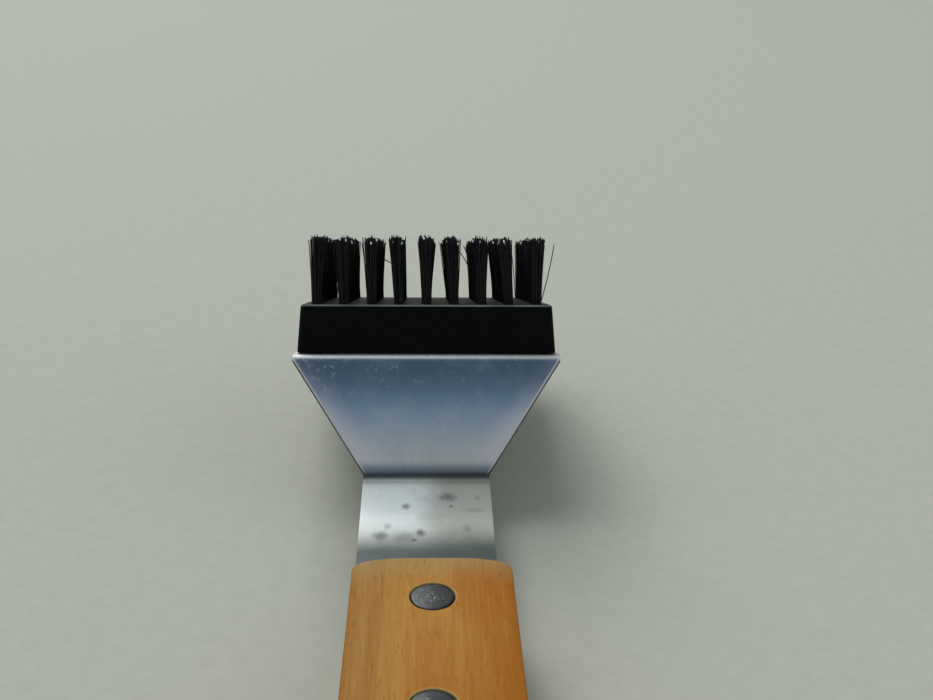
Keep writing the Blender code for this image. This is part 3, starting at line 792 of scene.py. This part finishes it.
def soften(obj, radius):
    """Rounds an object's sharp edges."""
    modifier = obj.modifiers.new("Softened", "BEVEL")
    modifier.width = radius
    modifier.segments = 3
    modifier.limit_method = "ANGLE"
    modifier.angle_limit = math.radians(40)


def thicken(obj, thickness):
    """Gives an open strip its thickness, half to each side."""
    modifier = obj.modifiers.new("Thickness", "SOLIDIFY")
    modifier.thickness = thickness
    modifier.offset = 0.0
    modifier.use_even_offset = True


def settle(obj, sharp=SHARP_EDGE):
    """Makes the shape that an object's modifiers give its own, shaded smooth."""
    graph = bpy.context.evaluated_depsgraph_get()
    mesh = bpy.data.meshes.new_from_object(obj.evaluated_get(graph))
    mesh.name = obj.name
    obj.modifiers.clear()
    obj.data = mesh
    mesh.shade_smooth()
    mesh.set_sharp_from_angle(angle=sharp)
    modifier = obj.modifiers.new("Even shading", "WEIGHTED_NORMAL")
    modifier.keep_sharp = True
    modifier.weight = 100


def dress(obj, materials, slot, *nodes):
    """Gives a piece its finish, sets it on the body and lets it stand for its nodes."""
    for material in materials:
        obj.data.materials.append(material)
    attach(obj, BODY)
    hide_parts(*nodes)


def discard(objects):
    """Deletes shapes that were only needed to cut with."""
    for obj in objects:
        bpy.data.objects.remove(obj, do_unlink=True)


def lathe_mesh(name, points, sides=64):
    """A closed solid turned about Z. Its (radius, height) points start and end on the axis."""
    build = bmesh.new()
    verts = [build.verts.new((radius, 0.0, height)) for radius, height in points]
    edges = [build.edges.new(pair) for pair in zip(verts, verts[1:])]
    bmesh.ops.spin(
        build,
        geom=verts + edges,
        axis=(0, 0, 1),
        cent=(0, 0, 0),
        angle=math.tau,
        steps=sides,
        use_merge=True,
    )
    bmesh.ops.remove_doubles(build, verts=build.verts, dist=MERGE_DISTANCE)
    bmesh.ops.recalc_face_normals(build, faces=build.faces)
    return mesh_from(build, name)


def arc(centre, radius, start, end, steps):
    """Points on an arc, with the angles in degrees."""
    angles = [math.radians(start + (end - start) * index / steps) for index in range(steps + 1)]
    across, up = centre
    return [(across + radius * math.cos(angle), up + radius * math.sin(angle)) for angle in angles]


def corner_points(radius, steps):
    """Points round a corner, as (distance from the end, how far the side is drawn in)."""
    angles = [index * math.pi / 2 / steps for index in range(steps + 1)]
    return [(radius * (1 - math.cos(angle)), radius * (1 - math.sin(angle))) for angle in angles]


def corner_inset(distance, radius):
    """How far a rounded corner draws a side in at a distance from the end."""
    if distance >= radius:
        return 0.0
    return radius - math.sqrt(radius**2 - (radius - distance) ** 2)


class SheetWalk:
    """Walks the sheet's centre line and keeps a row (y, z, half width) at each stop."""

    def __init__(self, y, z):
        self.y = y
        self.z = z
        self.heading = 0.0
        self.rows = []

    def straight(self, run, half_width):
        """A flat run that ends at a half width."""
        self.y += run * math.cos(self.heading)
        self.z += run * math.sin(self.heading)
        self.rows.append((self.y, self.z, half_width))

    def bend(self, radius, heading, half_width, steps=12):
        """A bend to a new heading."""
        turn_each = (heading - self.heading) / steps
        chord = 2 * radius * math.sin(abs(turn_each) / 2)
        for _ in range(steps):
            self.heading += turn_each / 2
            self.straight(chord, half_width)
            self.heading += turn_each / 2

    def widen(self, radius, half_width, steps=8):
        """Rounded corners out to a half width."""
        before = 0.0
        for distance, inset in corner_points(radius, steps)[1:]:
            self.straight(distance - before, half_width - inset)
            before = distance

    def narrow(self, radius, half_width, steps=8):
        """Rounded corners in from a half width."""
        before = radius
        for distance, inset in corner_points(radius, steps)[-2::-1]:
            self.straight(before - distance, half_width - inset)
            before = distance


def walk_tang(sheet, clearance=0.0):
    """The tang, from its tail to just clear of the handle's front face."""
    half_width = sheet.tang_width / 2 + clearance
    walk = SheetWalk(FRONT_FACE - sheet.tang_length - clearance, SPLIT_HEIGHT)
    walk.straight(0.0, half_width - sheet.tang_corner)
    walk.widen(sheet.tang_corner, half_width)
    walk.straight(sheet.tang_length + clearance - sheet.tang_corner + CLEARANCE, half_width)
    return walk


def walk_sheet(settings):
    """The whole sheet, and the (y, z) corner where shoulder and flange would meet on top."""
    sheet, block = settings.sheet, settings.block
    half_neck = sheet.neck_width / 2
    half_head = sheet.head_width / 2
    heading = math.pi / 2 - sheet.head_tilt
    crease = (sheet.crease_radius - sheet.thickness / 2) * math.tan(heading / 2)
    bend = sheet.bend_radius + sheet.thickness / 2
    step = (sheet.neck_width - sheet.tang_width) / 2
    walk = walk_tang(sheet)
    walk.widen(step, half_neck)
    walk.straight(sheet.neck_length - CLEARANCE - step - crease, half_neck)
    walk.bend(sheet.crease_radius, heading, half_neck)
    walk.straight(sheet.shoulder_height - crease - bend, half_head)
    up = Vector((math.sin(sheet.head_tilt), math.cos(sheet.head_tilt)))
    away = Vector((math.cos(sheet.head_tilt), -math.sin(sheet.head_tilt)))
    corner = Vector((walk.y, walk.z)) + up * bend - away * sheet.thickness / 2
    walk.bend(sheet.bend_radius, -sheet.head_tilt, half_head)
    walk.straight(sheet.ledge + block.depth + sheet.margin - bend - sheet.flange_corner, half_head)
    walk.narrow(sheet.flange_corner, half_head)
    return walk, corner


def head_frame(settings):
    """Where the head's pieces stand: Y runs along the flange and Z along the bristles."""
    _, corner = walk_sheet(settings)
    return Matrix.Translation((0.0, *corner)) @ Matrix.Rotation(-settings.sheet.head_tilt, 4, "X")


def strip_mesh(name, rows):
    """An open strip through the rows, two points wide."""
    build = bmesh.new()
    pairs = [[build.verts.new((side * half, y, z)) for side in (-1, 1)] for y, z, half in rows]
    for (left, right), (next_left, next_right) in zip(pairs, pairs[1:]):
        build.faces.new((left, right, next_right, next_left))
    return mesh_from(build, name)


def rivet_places(settings):
    """The rivets' axes at the handle's middle height."""
    rivets = settings.rivets
    return [
        Vector((HANDLE_MIDDLE, FRONT_FACE - rivets.first - index * rivets.pitch, SPLIT_HEIGHT))
        for index in range(rivets.count)
    ]


def screw_places(settings):
    """Where the screws stand on the flange, in the head's frame."""
    half = settings.screws.span / 2
    middle = block_middle(settings)
    return [(across * half, middle + along * half) for along in (-1, 1) for across in (-1, 1)]


def cutters_at(name, mesh, places):
    """A cutter of one shape at each place."""
    cutters = [linked(f"{name}_{index}", mesh) for index in range(len(places))]
    for cutter, place in zip(cutters, places):
        cutter.matrix_world = place
    return cutters


def rivet_cutters(settings):
    """Shapes of the rivets' holes, with a chamfered seat at each end."""
    rivets = settings.rivets
    face = settings.handle.thickness / 2
    seat = face - rivets.recess - rivets.head_thickness - CLEARANCE
    wide = rivets.head_radius + CLEARANCE / 2
    narrow = rivets.tube_radius + CLEARANCE
    outer = wide + rivets.seat_chamfer + CUT_MARGIN
    upper = [(0.0, face + CUT_MARGIN), (outer, face + CUT_MARGIN), (wide, face - rivets.seat_chamfer)]
    upper += [(wide, seat), (narrow, seat)]
    mesh = lathe_mesh("rivet_hole", upper + [(radius, -height) for radius, height in reversed(upper)])
    places = [Matrix.Translation(place) for place in rivet_places(settings)]
    return cutters_at("rivet_hole", mesh, places)


def screw_cutters(settings):
    """Shapes of the screws' holes through the flange and into the block."""
    screws = settings.screws
    radius = screws.radius + CLEARANCE
    top = 2 * CLEARANCE + screws.reach
    low = -settings.sheet.thickness - CUT_MARGIN
    mesh = lathe_mesh("screw_hole", [(0.0, top), (radius, top), (radius, low), (0.0, low)], 32)
    head = head_frame(settings)
    places = [head @ Matrix.Translation((*place, 0.0)) for place in screw_places(settings)]
    return cutters_at("screw_hole", mesh, places)


def cross_mesh(screws, height):
    """A cross-shaped prism round a height, which cuts the slots of a screw's head."""
    arm, half = screws.head_radius * SLOT_REACH, screws.slot_width / 2
    corners = [Vector((*corner, 0.0)) for corner in ((arm, -half), (arm, half), (half, half))]
    low = Vector((0.0, 0.0, height - screws.slot_depth))
    build = bmesh.new()
    verts = []
    for turn in range(4):
        turned = Matrix.Rotation(turn * math.pi / 2, 3, "Z")
        verts += [build.verts.new(turned @ corner + low) for corner in corners]
    made = bmesh.ops.extrude_face_region(build, geom=[build.faces.new(verts)])["geom"]
    top = [item for item in made if isinstance(item, bmesh.types.BMVert)]
    bmesh.ops.translate(build, verts=top, vec=(0.0, 0.0, 2 * screws.slot_depth))
    bmesh.ops.recalc_face_normals(build, faces=build.faces)
    return mesh_from(build, "cross_slots")


def handle_half_width(handle, distance):
    """Half the handle's width at a distance behind its front face."""
    if distance < handle.waist_place:
        start, end, place = handle.front_width, handle.waist_width, distance / handle.waist_place
    else:
        start, end = handle.waist_width, handle.butt_width
        place = (distance - handle.waist_place) / (handle.length - handle.waist_place)
    ease = (1 - math.cos(math.pi * place)) / 2
    return (start + (end - start) * ease) / 2


def handle_section(handle, distance, half_width, height, steps=16):
    """One half's section: flat on the split and crowned on the outside."""
    flat = handle.flat_width / handle.front_width * half_width
    centre = (flat, height - handle.crown_drop)
    side = [(half_width, CLEARANCE / 2)]
    for index in range(steps + 1):
        angle = index * math.pi / 2 / steps
        across = centre[0] + (half_width - flat) * math.cos(angle)
        side.append((across, centre[1] + handle.crown_drop * math.sin(angle)))
    outline = side + [(-across, up) for across, up in reversed(side)]
    start = Vector((HANDLE_MIDDLE, FRONT_FACE - distance, SPLIT_HEIGHT))
    return [start + Vector((across, 0.0, up)) for across, up in outline]


def handle_mesh(handle):
    """The upper half of the handle."""
    front = [distance for distance, _ in corner_points(handle.front_corner, 8)]
    butt = [handle.length - distance for distance, _ in corner_points(handle.butt_corner, 16)]
    between = np.linspace(handle.front_corner, handle.length - handle.butt_corner, 25)[1:-1]
    build = bmesh.new()
    loops = []
    for distance in [*front, *between, *reversed(butt)]:
        to_butt = handle.length - distance
        half_width = handle_half_width(handle, distance)
        half_width -= corner_inset(distance, handle.front_corner)
        half_width -= corner_inset(to_butt, handle.butt_corner)
        height = handle.thickness / 2
        height -= corner_inset(distance, handle.front_edge) + corner_inset(to_butt, handle.butt_edge)
        section = handle_section(handle, distance, half_width, height)
        loops.append([build.verts.new(point) for point in section])
    for first, second in zip(loops, loops[1:]):
        for index in range(len(first)):
            build.faces.new((first[index - 1], first[index], second[index], second[index - 1]))
    build.faces.new(loops[0])
    build.faces.new(loops[-1])
    bmesh.ops.recalc_face_normals(build, faces=build.faces)
    return mesh_from(build, "wood_half")


def block_middle(settings):
    """How far the block's middle lies behind the flange's front corner."""
    return settings.sheet.ledge + settings.block.depth / 2


def tuft_places(settings):
    """The tufts' feet on the deck, row by row, in the head's frame."""
    bristles = settings.bristles
    middle = Vector((0.0, block_middle(settings), CLEARANCE + settings.block.height))
    rows = []
    for row in range(bristles.rows):
        along = (row - (bristles.rows - 1) / 2) * bristles.pitch
        steps = [column - (bristles.columns - 1) / 2 for column in range(bristles.columns)]
        rows.append([middle + Vector((step * bristles.pitch, along, 0.0)) for step in steps])
    return rows


def block_mesh(settings):
    """The block's outside: drafted sides, round corners and a softened deck edge."""
    block = settings.block
    middle = block_middle(settings)
    top = CLEARANCE + block.height
    build = bmesh.new()
    place = Matrix.Translation((0.0, middle, (CLEARANCE + top) / 2))
    place @= Matrix.Diagonal((block.width, block.depth, block.height, 1.0))
    bmesh.ops.create_cube(build, size=1.0, matrix=place)
    for vert in build.verts:
        if vert.co.z > block.height / 2:
            vert.co.x -= math.copysign(block.draft, vert.co.x)
            vert.co.y -= math.copysign(block.draft, vert.co.y - middle)
    upright = [
        edge
        for edge in build.edges
        if abs(edge.verts[0].co.z - edge.verts[1].co.z) > block.height / 2
    ]
    round_edges(build, upright, block.corner_radius, 8)
    rim = [edge for edge in build.edges if min(vert.co.z for vert in edge.verts) > top - MERGE_DISTANCE]
    round_edges(build, rim, block.edge_radius, 4)
    return mesh_from(build, "block_body")


def hole_field(settings):
    """The tufts' round holes in the deck, all in one shape."""
    radius = settings.bristles.tuft_radius
    build = bmesh.new()
    for row in tuft_places(settings):
        for place in row:
            bmesh.ops.create_cone(
                build,
                cap_ends=True,
                segments=24,
                radius1=radius + HOLE_GAP,
                radius2=radius + HOLE_FLARE,
                depth=2 * HOLE_DEPTH,
                matrix=Matrix.Translation(place),
            )
    return linked("tuft_holes", mesh_from(build, "tuft_holes"))


def sunflower(count, radius):
    """Points spread evenly over a disc."""
    golden = math.pi * (3 - math.sqrt(5))
    return [
        flat_vector(index * golden) * radius * math.sqrt((index + 0.5) / count)
        for index in range(count)
    ]


def flat_vector(angle):
    """A step of length one across the deck."""
    return Vector((math.cos(angle), math.sin(angle), 0.0))


def tuft_strands(chance, settings, place, column):
    """One tuft's strands, as lists of points from foot to tip."""
    bristles = settings.bristles
    lean = Vector((COLUMN_LEANS[column % len(COLUMN_LEANS)] * MM, 0.0, 0.0))
    lean.x += chance.uniform(-LEAN_SPREAD, LEAN_SPREAD)
    lean.y += chance.uniform(-LEAN_SPREAD, LEAN_SPREAD)
    spread = bristles.spread * chance.uniform(0.9, 1.1)
    height = bristles.strand_length - chance.uniform(0.0, TUFT_LENGTH_SPREAD)
    strands = []
    for offset in sunflower(bristles.strands, bristles.tuft_radius - bristles.strand_radius):
        foot = place + offset - Vector((0.0, 0.0, STRAND_SINK))
        angle = chance.uniform(0, math.tau)
        stray = (0.15 + chance.random() ** 5 * 1.1) * MM
        tip = place + lean + offset * spread + flat_vector(angle) * stray
        outside = (offset.length / bristles.tuft_radius) ** 3
        tip.z += height + ragged_top(outside, chance.random())
        bow = Vector((chance.uniform(-1, 1), chance.uniform(-1, 1), 0.0)) * STRAND_BOW - offset * 0.08
        strands.append(strand_points(foot, tip, bow))
    return strands


def ragged_top(outside, luck):
    """How far a strand rises above its tuft: less on the outside, and a few stand out."""
    return (0.15 - outside * 0.55 - luck**2 * 1.2 + max(0.0, 0.08 - luck) * 8.0) * MM


def strand_points(foot, tip, bow):
    """Points along a strand that bows slightly, with short last pieces for its cut end."""
    return [foot.lerp(tip, stop) + bow * 4 * stop * (1 - stop) for stop in STRAND_STOPS]


def stray_strands(settings):
    """The strands that have worked loose in front of the first row."""
    first = tuft_places(settings)[0][0]
    ahead = first.y - settings.bristles.tuft_radius * STRAY_GAP
    strands = []
    for ends in STRAYS:
        low, high = [Vector((across * MM, ahead, first.z + up * MM)) for across, up in ends]
        strands.append(strand_points(low, high, Vector((STRAY_BOW, 0.0, 0.0))))
    return strands


def strand_rings(strands, radius, pale):
    """Rings of points round each strand, wider at the pale ends."""
    points = np.array([[tuple(point) for point in strand] for strand in strands])
    along = points[:, -1] - points[:, 0]
    along /= np.linalg.norm(along, axis=1, keepdims=True)
    right = np.cross(along, (0.0, 1.0, 0.0))
    right /= np.linalg.norm(right, axis=1, keepdims=True)
    front = np.cross(along, right)
    radii = np.tile(radius * np.linspace(1.0, STRAND_TAPER, len(STRAND_STOPS)), (len(strands), 1))
    radii[pale, -2:] *= BEAD_SWELL
    points[pale, -BEAD_STOPS:, 2] += BEAD_LIFT
    angles = np.arange(STRAND_SIDES)[None, :, None] * math.tau / STRAND_SIDES
    ring = np.cos(angles) * right[:, None] + np.sin(angles) * front[:, None]
    return points[:, :, None] + radii[:, :, None, None] * ring[:, None]


def strands_mesh(name, strands, radius, pale):
    """Closed round strands along their points. The pale ones end in a bead of the second material, a
    painted glint.
    """
    rings = strand_rings(strands, radius, pale)
    count, stops, sides = rings.shape[:3]
    faces = []
    shades = []
    for index in range(count):
        start = index * stops * sides
        for stop in range(stops - 1):
            low = start + stop * sides
            for side in range(sides):
                after = (side + 1) % sides
                faces.append((low + side, low + after, low + sides + after, low + sides + side))
                shades.append(int(pale[index] and stop >= stops - BEAD_STOPS))
        top = start + (stops - 1) * sides
        faces.append(tuple(range(start, start + sides))[::-1])
        faces.append(tuple(range(top, top + sides)))
        shades += [0, int(pale[index])]
    mesh = bpy.data.meshes.new(name)
    mesh.from_pydata(rings.reshape(-1, 3).tolist(), [], faces)
    mesh.shade_smooth()
    mesh.set_sharp_from_angle(angle=SHARP_STRAND)
    mesh.polygons.foreach_set("material_index", shades)
    return mesh


def rivet_outlines(settings):
    """Half sections of the rivets' cap and socket, with the head upwards."""
    rivets = settings.rivets
    outer = settings.handle.thickness / 2 - rivets.recess
    inner = outer - rivets.head_thickness
    corner = (rivets.head_radius - rivets.edge_radius, outer - rivets.edge_radius)
    rim = arc(corner, rivets.edge_radius, 75, 0, 6)
    dome = [(rim[0][0] * part, rim[0][1] + rivets.head_dome * (1 - part**2)) for part in DOME_SHARES]
    face = [(0.0, dome[-1][1] - DOME_DIMPLE), *reversed(dome), *rim, (rivets.head_radius, inner)]
    pin_end = PIN_END_GAP - inner
    pin = [(rivets.pin_radius, inner), (rivets.pin_radius, pin_end), (0.0, pin_end)]
    tube_end = CLEARANCE - inner
    bore = rivets.pin_radius + CLEARANCE
    tube = [(rivets.tube_radius, inner), (rivets.tube_radius, tube_end), (bore, tube_end)]
    return face + pin, face + [*tube, (bore, inner), (0.0, inner)]


def screw_outline(settings):
    """Half section of a screw, with its point upwards."""
    screws = settings.screws
    seat = -settings.sheet.thickness - CLEARANCE
    tip = CLEARANCE + screws.reach
    points = [(0.0, tip), (screws.radius, tip - screws.point)]
    points += [(screws.radius, seat), (screws.head_radius, seat)]
    dome = screws.head_height - screws.head_rim
    for index in range(SCREW_DOME_STEPS):
        angle = index * math.pi / 2 / SCREW_DOME_STEPS
        height = seat - screws.head_rim - dome * math.sin(angle)
        points.append((screws.head_radius * math.cos(angle), height))
    return [*points, (0.0, seat - screws.head_height)]


class GRILLBRUSH_OT_sheet(bpy.types.Operator):
    """Builds the bent steel sheet"""

    bl_idname = "grillbrush.sheet"
    bl_label = "Steel sheet"

    def execute(self, context):
        settings = context.scene.grill_brush
        walk, _ = walk_sheet(settings)
        sheet = linked("steel_sheet", strip_mesh("steel_sheet", walk.rows))
        thicken(sheet, settings.sheet.thickness)
        soften(sheet, settings.sheet.edge_radius)
        cutters = rivet_cutters(settings) + screw_cutters(settings)
        for cutter in cutters:
            cut(sheet, cutter)
        settle(sheet)
        discard(cutters)
        dress(sheet, [sheet_finish(settings)], "sheet_steel", "steel_plate")
        return {"FINISHED"}


class GRILLBRUSH_OT_block(bpy.types.Operator):
    """Builds the block with its tuft holes"""

    bl_idname = "grillbrush.block"
    bl_label = "Block"

    def execute(self, context):
        settings = context.scene.grill_brush
        block = linked("block_body", block_mesh(settings))
        holes = hole_field(settings)
        cut(block, holes)
        settle(block)
        discard([holes])
        block.data.transform(head_frame(settings))
        dress(block, [plastic_finish(settings)], "black_plastic", "brush_block")
        return {"FINISHED"}


class GRILLBRUSH_OT_bristles(bpy.types.Operator):
    """Builds the rows of tufts and the loose strands"""

    bl_idname = "grillbrush.bristles"
    bl_label = "Bristles"

    def execute(self, context):
        settings = context.scene.grill_brush
        bristles = settings.bristles
        chance = random.Random(STRAND_SEED)
        finishes = [strand_finish(bristles), cut_end_finish(bristles)]
        head = head_frame(settings)
        for row, places in enumerate(tuft_places(settings)):
            strands = stray_strands(settings) if row == 0 else []
            for column, place in enumerate(places):
                strands += tuft_strands(chance, settings, place, column)
            pale = np.array([chance.random() < bristles.pale_share for _ in strands])
            name = f"tufts_row_{row + 1}"
            tufts = linked(name, strands_mesh(name, strands, bristles.strand_radius, pale))
            tufts.data.transform(head)
            dress(tufts, finishes, "bristle", f"bristle_row_{row + 1}")
        return {"FINISHED"}


class GRILLBRUSH_OT_handle(bpy.types.Operator):
    """Builds the two wooden halves"""

    bl_idname = "grillbrush.handle"
    bl_label = "Handle"

    def execute(self, context):
        settings = context.scene.grill_brush
        wood = wood_finish(settings.handle, settings.rivets)
        rows = walk_tang(settings.sheet, CLEARANCE).rows
        rows[-1] = (FRONT_FACE + CUT_MARGIN, *rows[-1][1:])
        pocket = linked("tang_pocket", strip_mesh("tang_pocket", rows))
        thicken(pocket, settings.sheet.thickness + 2 * CLEARANCE)
        cutters = [*rivet_cutters(settings), pocket]
        middle = Matrix.Translation((HANDLE_MIDDLE, 0.0, SPLIT_HEIGHT))
        turned_over = middle @ Matrix.Rotation(math.pi, 4, "Y") @ middle.inverted()
        for name, node in (("wood_upper", "handle_top"), ("wood_lower", "handle_bottom")):
            half = linked(name, handle_mesh(settings.handle))
            if node == "handle_bottom":
                half.data.transform(turned_over)
            for cutter in cutters:
                cut(half, cutter)
            settle(half)
            dress(half, [wood], "beech", node)
        discard(cutters)
        return {"FINISHED"}


class GRILLBRUSH_OT_rivets(bpy.types.Operator):
    """Builds the rivets' two halves"""

    bl_idname = "grillbrush.rivets"
    bl_label = "Rivets"

    def execute(self, context):
        settings = context.scene.grill_brush
        steel = rivet_finish(settings.rivets)
        cap, socket = rivet_outlines(settings)
        meshes = {"cap": lathe_mesh("rivet_cap", cap), "socket": lathe_mesh("rivet_socket", socket)}
        meshes["socket"].transform(Matrix.Rotation(math.pi, 4, "Y"))
        for index, place in enumerate(rivet_places(settings)):
            for kind, mesh in meshes.items():
                piece = linked(f"rivet_{kind}_{index + 1}", mesh.copy())
                piece.data.transform(Matrix.Translation(place))
                settle(piece, SHARP_METAL)
                dress(piece, [steel], "rivet_steel", f"rivet_{index + 1}_{kind}")
        return {"FINISHED"}


class GRILLBRUSH_OT_screws(bpy.types.Operator):
    """Builds the screws behind the flange"""

    bl_idname = "grillbrush.screws"
    bl_label = "Screws"

    def execute(self, context):
        settings = context.scene.grill_brush
        screws = settings.screws
        outline = screw_outline(settings)
        mesh = lathe_mesh("screw", outline)
        cutter = linked("cross_slots", cross_mesh(screws, outline[-1][1]))
        head = head_frame(settings)
        steel = screw_finish(screws)
        for index, place in enumerate(screw_places(settings)):
            screw = linked(f"screw_piece_{index + 1}", mesh.copy())
            cut(screw, cutter)
            settle(screw, SHARP_METAL)
            turned = Matrix.Rotation(SCREW_FIRST_TURN + index * SCREW_NEXT_TURN, 4, "Z")
            screw.data.transform(head @ Matrix.Translation((*place, 0.0)) @ turned)
            dress(screw, [steel], "screw_steel", f"screw_{index + 1}")
        discard([cutter])
        return {"FINISHED"}


class GRILLBRUSH_OT_stage(bpy.types.Operator):
    """Sets the floor, the lights and the camera"""

    bl_idname = "grillbrush.stage"
    bl_label = "Stage"

    def execute(self, context):
        stage = context.scene.grill_brush.stage
        build = bmesh.new()
        bmesh.ops.create_circle(build, cap_ends=True, segments=96, radius=FLOOR_RADIUS)
        floor = linked("floor", mesh_from(build, "floor"))
        floor.data.materials.append(floor_finish(stage))
        for name, setting, size, place, tint in LAMPS:
            add_lamp(name, getattr(stage, setting), size, place, tint)
        light_room(stage)
        set_camera(context.scene)
        context.scene.view_settings.view_transform = "Standard"
        return {"FINISHED"}


def add_lamp(name, watts, size, place, tint):
    """A soft square lamp that points at the brush."""
    lamp = bpy.data.lights.new(name, "AREA")
    lamp.energy = watts
    lamp.size = size
    lamp.color = tint
    obj = linked(name, lamp)
    obj.location = place
    obj.rotation_euler = (-Vector(place)).to_track_quat("-Z", "Y").to_euler()


def light_room(stage):
    """A soft room: bright above and ahead, dim and blue-grey behind the camera."""
    world = bpy.data.worlds.new("room")
    world.use_nodes = True
    bpy.context.scene.world = world
    nodes = Nodes(world.node_tree, "Generated")
    _, ahead, _ = nodes.axes()
    room = nodes.mixed(ahead.step(-0.9, 0.2), stage.behind, stage.overhead)
    seen = nodes.node("ShaderNodeLightPath").outputs["Is Camera Ray"]
    background = world.node_tree.nodes["Background"]
    nodes.feed(background.inputs["Color"], nodes.mixed(seen, room, stage.floor))
    background.inputs["Strength"].default_value = ROOM_STRENGTH


def set_camera(scene):
    """The camera, above the butt of the handle and looking down at the head."""
    camera = bpy.data.cameras.new("camera")
    camera.sensor_width = SENSOR_WIDTH
    camera.lens = LENS
    camera.clip_start = 10.0 * MM
    obj = linked("camera", camera)
    obj.location = CAMERA_PLACE
    obj.rotation_euler = Euler(CAMERA_TURN)
    scene.camera = obj


class GRILLBRUSH_PT_pieces(bpy.types.Panel):
    """Buttons that build the brush"""

    bl_idname = "GRILLBRUSH_PT_pieces"
    bl_label = "Grill Brush"
    bl_space_type = "VIEW_3D"
    bl_region_type = "UI"
    bl_category = "Grill Brush"

    def draw(self, context):
        settings = context.scene.grill_brush
        for operator, group in PIECES:
            box = self.layout.box()
            box.operator(operator.bl_idname)
            part = getattr(settings, group)
            for name in part.__annotations__:
                box.prop(part, name)


PIECES = (
    (GRILLBRUSH_OT_sheet, "sheet"),
    (GRILLBRUSH_OT_block, "block"),
    (GRILLBRUSH_OT_bristles, "bristles"),
    (GRILLBRUSH_OT_handle, "handle"),
    (GRILLBRUSH_OT_rivets, "rivets"),
    (GRILLBRUSH_OT_screws, "screws"),
    (GRILLBRUSH_OT_stage, "stage"),
)
GROUPS = (
    GRILLBRUSH_PG_sheet,
    GRILLBRUSH_PG_block,
    GRILLBRUSH_PG_bristles,
    GRILLBRUSH_PG_handle,
    GRILLBRUSH_PG_rivets,
    GRILLBRUSH_PG_screws,
    GRILLBRUSH_PG_stage,
    GRILLBRUSH_PG_brush,
)
CLASSES = (*GROUPS, *(operator for operator, _ in PIECES), GRILLBRUSH_PT_pieces)


def register():
    """Adds the classes and the scene's settings."""
    for kind in CLASSES:
        bpy.utils.register_class(kind)
    bpy.types.Scene.grill_brush = PointerProperty(type=GRILLBRUSH_PG_brush)


def unregister():
    """Takes the classes and the scene's settings away."""
    del bpy.types.Scene.grill_brush
    for kind in reversed(CLASSES):
        bpy.utils.unregister_class(kind)


def main():
    """Builds every piece in order."""
    register()
    bpy.ops.grillbrush.sheet()
    bpy.ops.grillbrush.block()
    bpy.ops.grillbrush.bristles()
    bpy.ops.grillbrush.handle()
    bpy.ops.grillbrush.rivets()
    bpy.ops.grillbrush.screws()
    bpy.ops.grillbrush.stage()


if __name__ == "__main__":
    main()
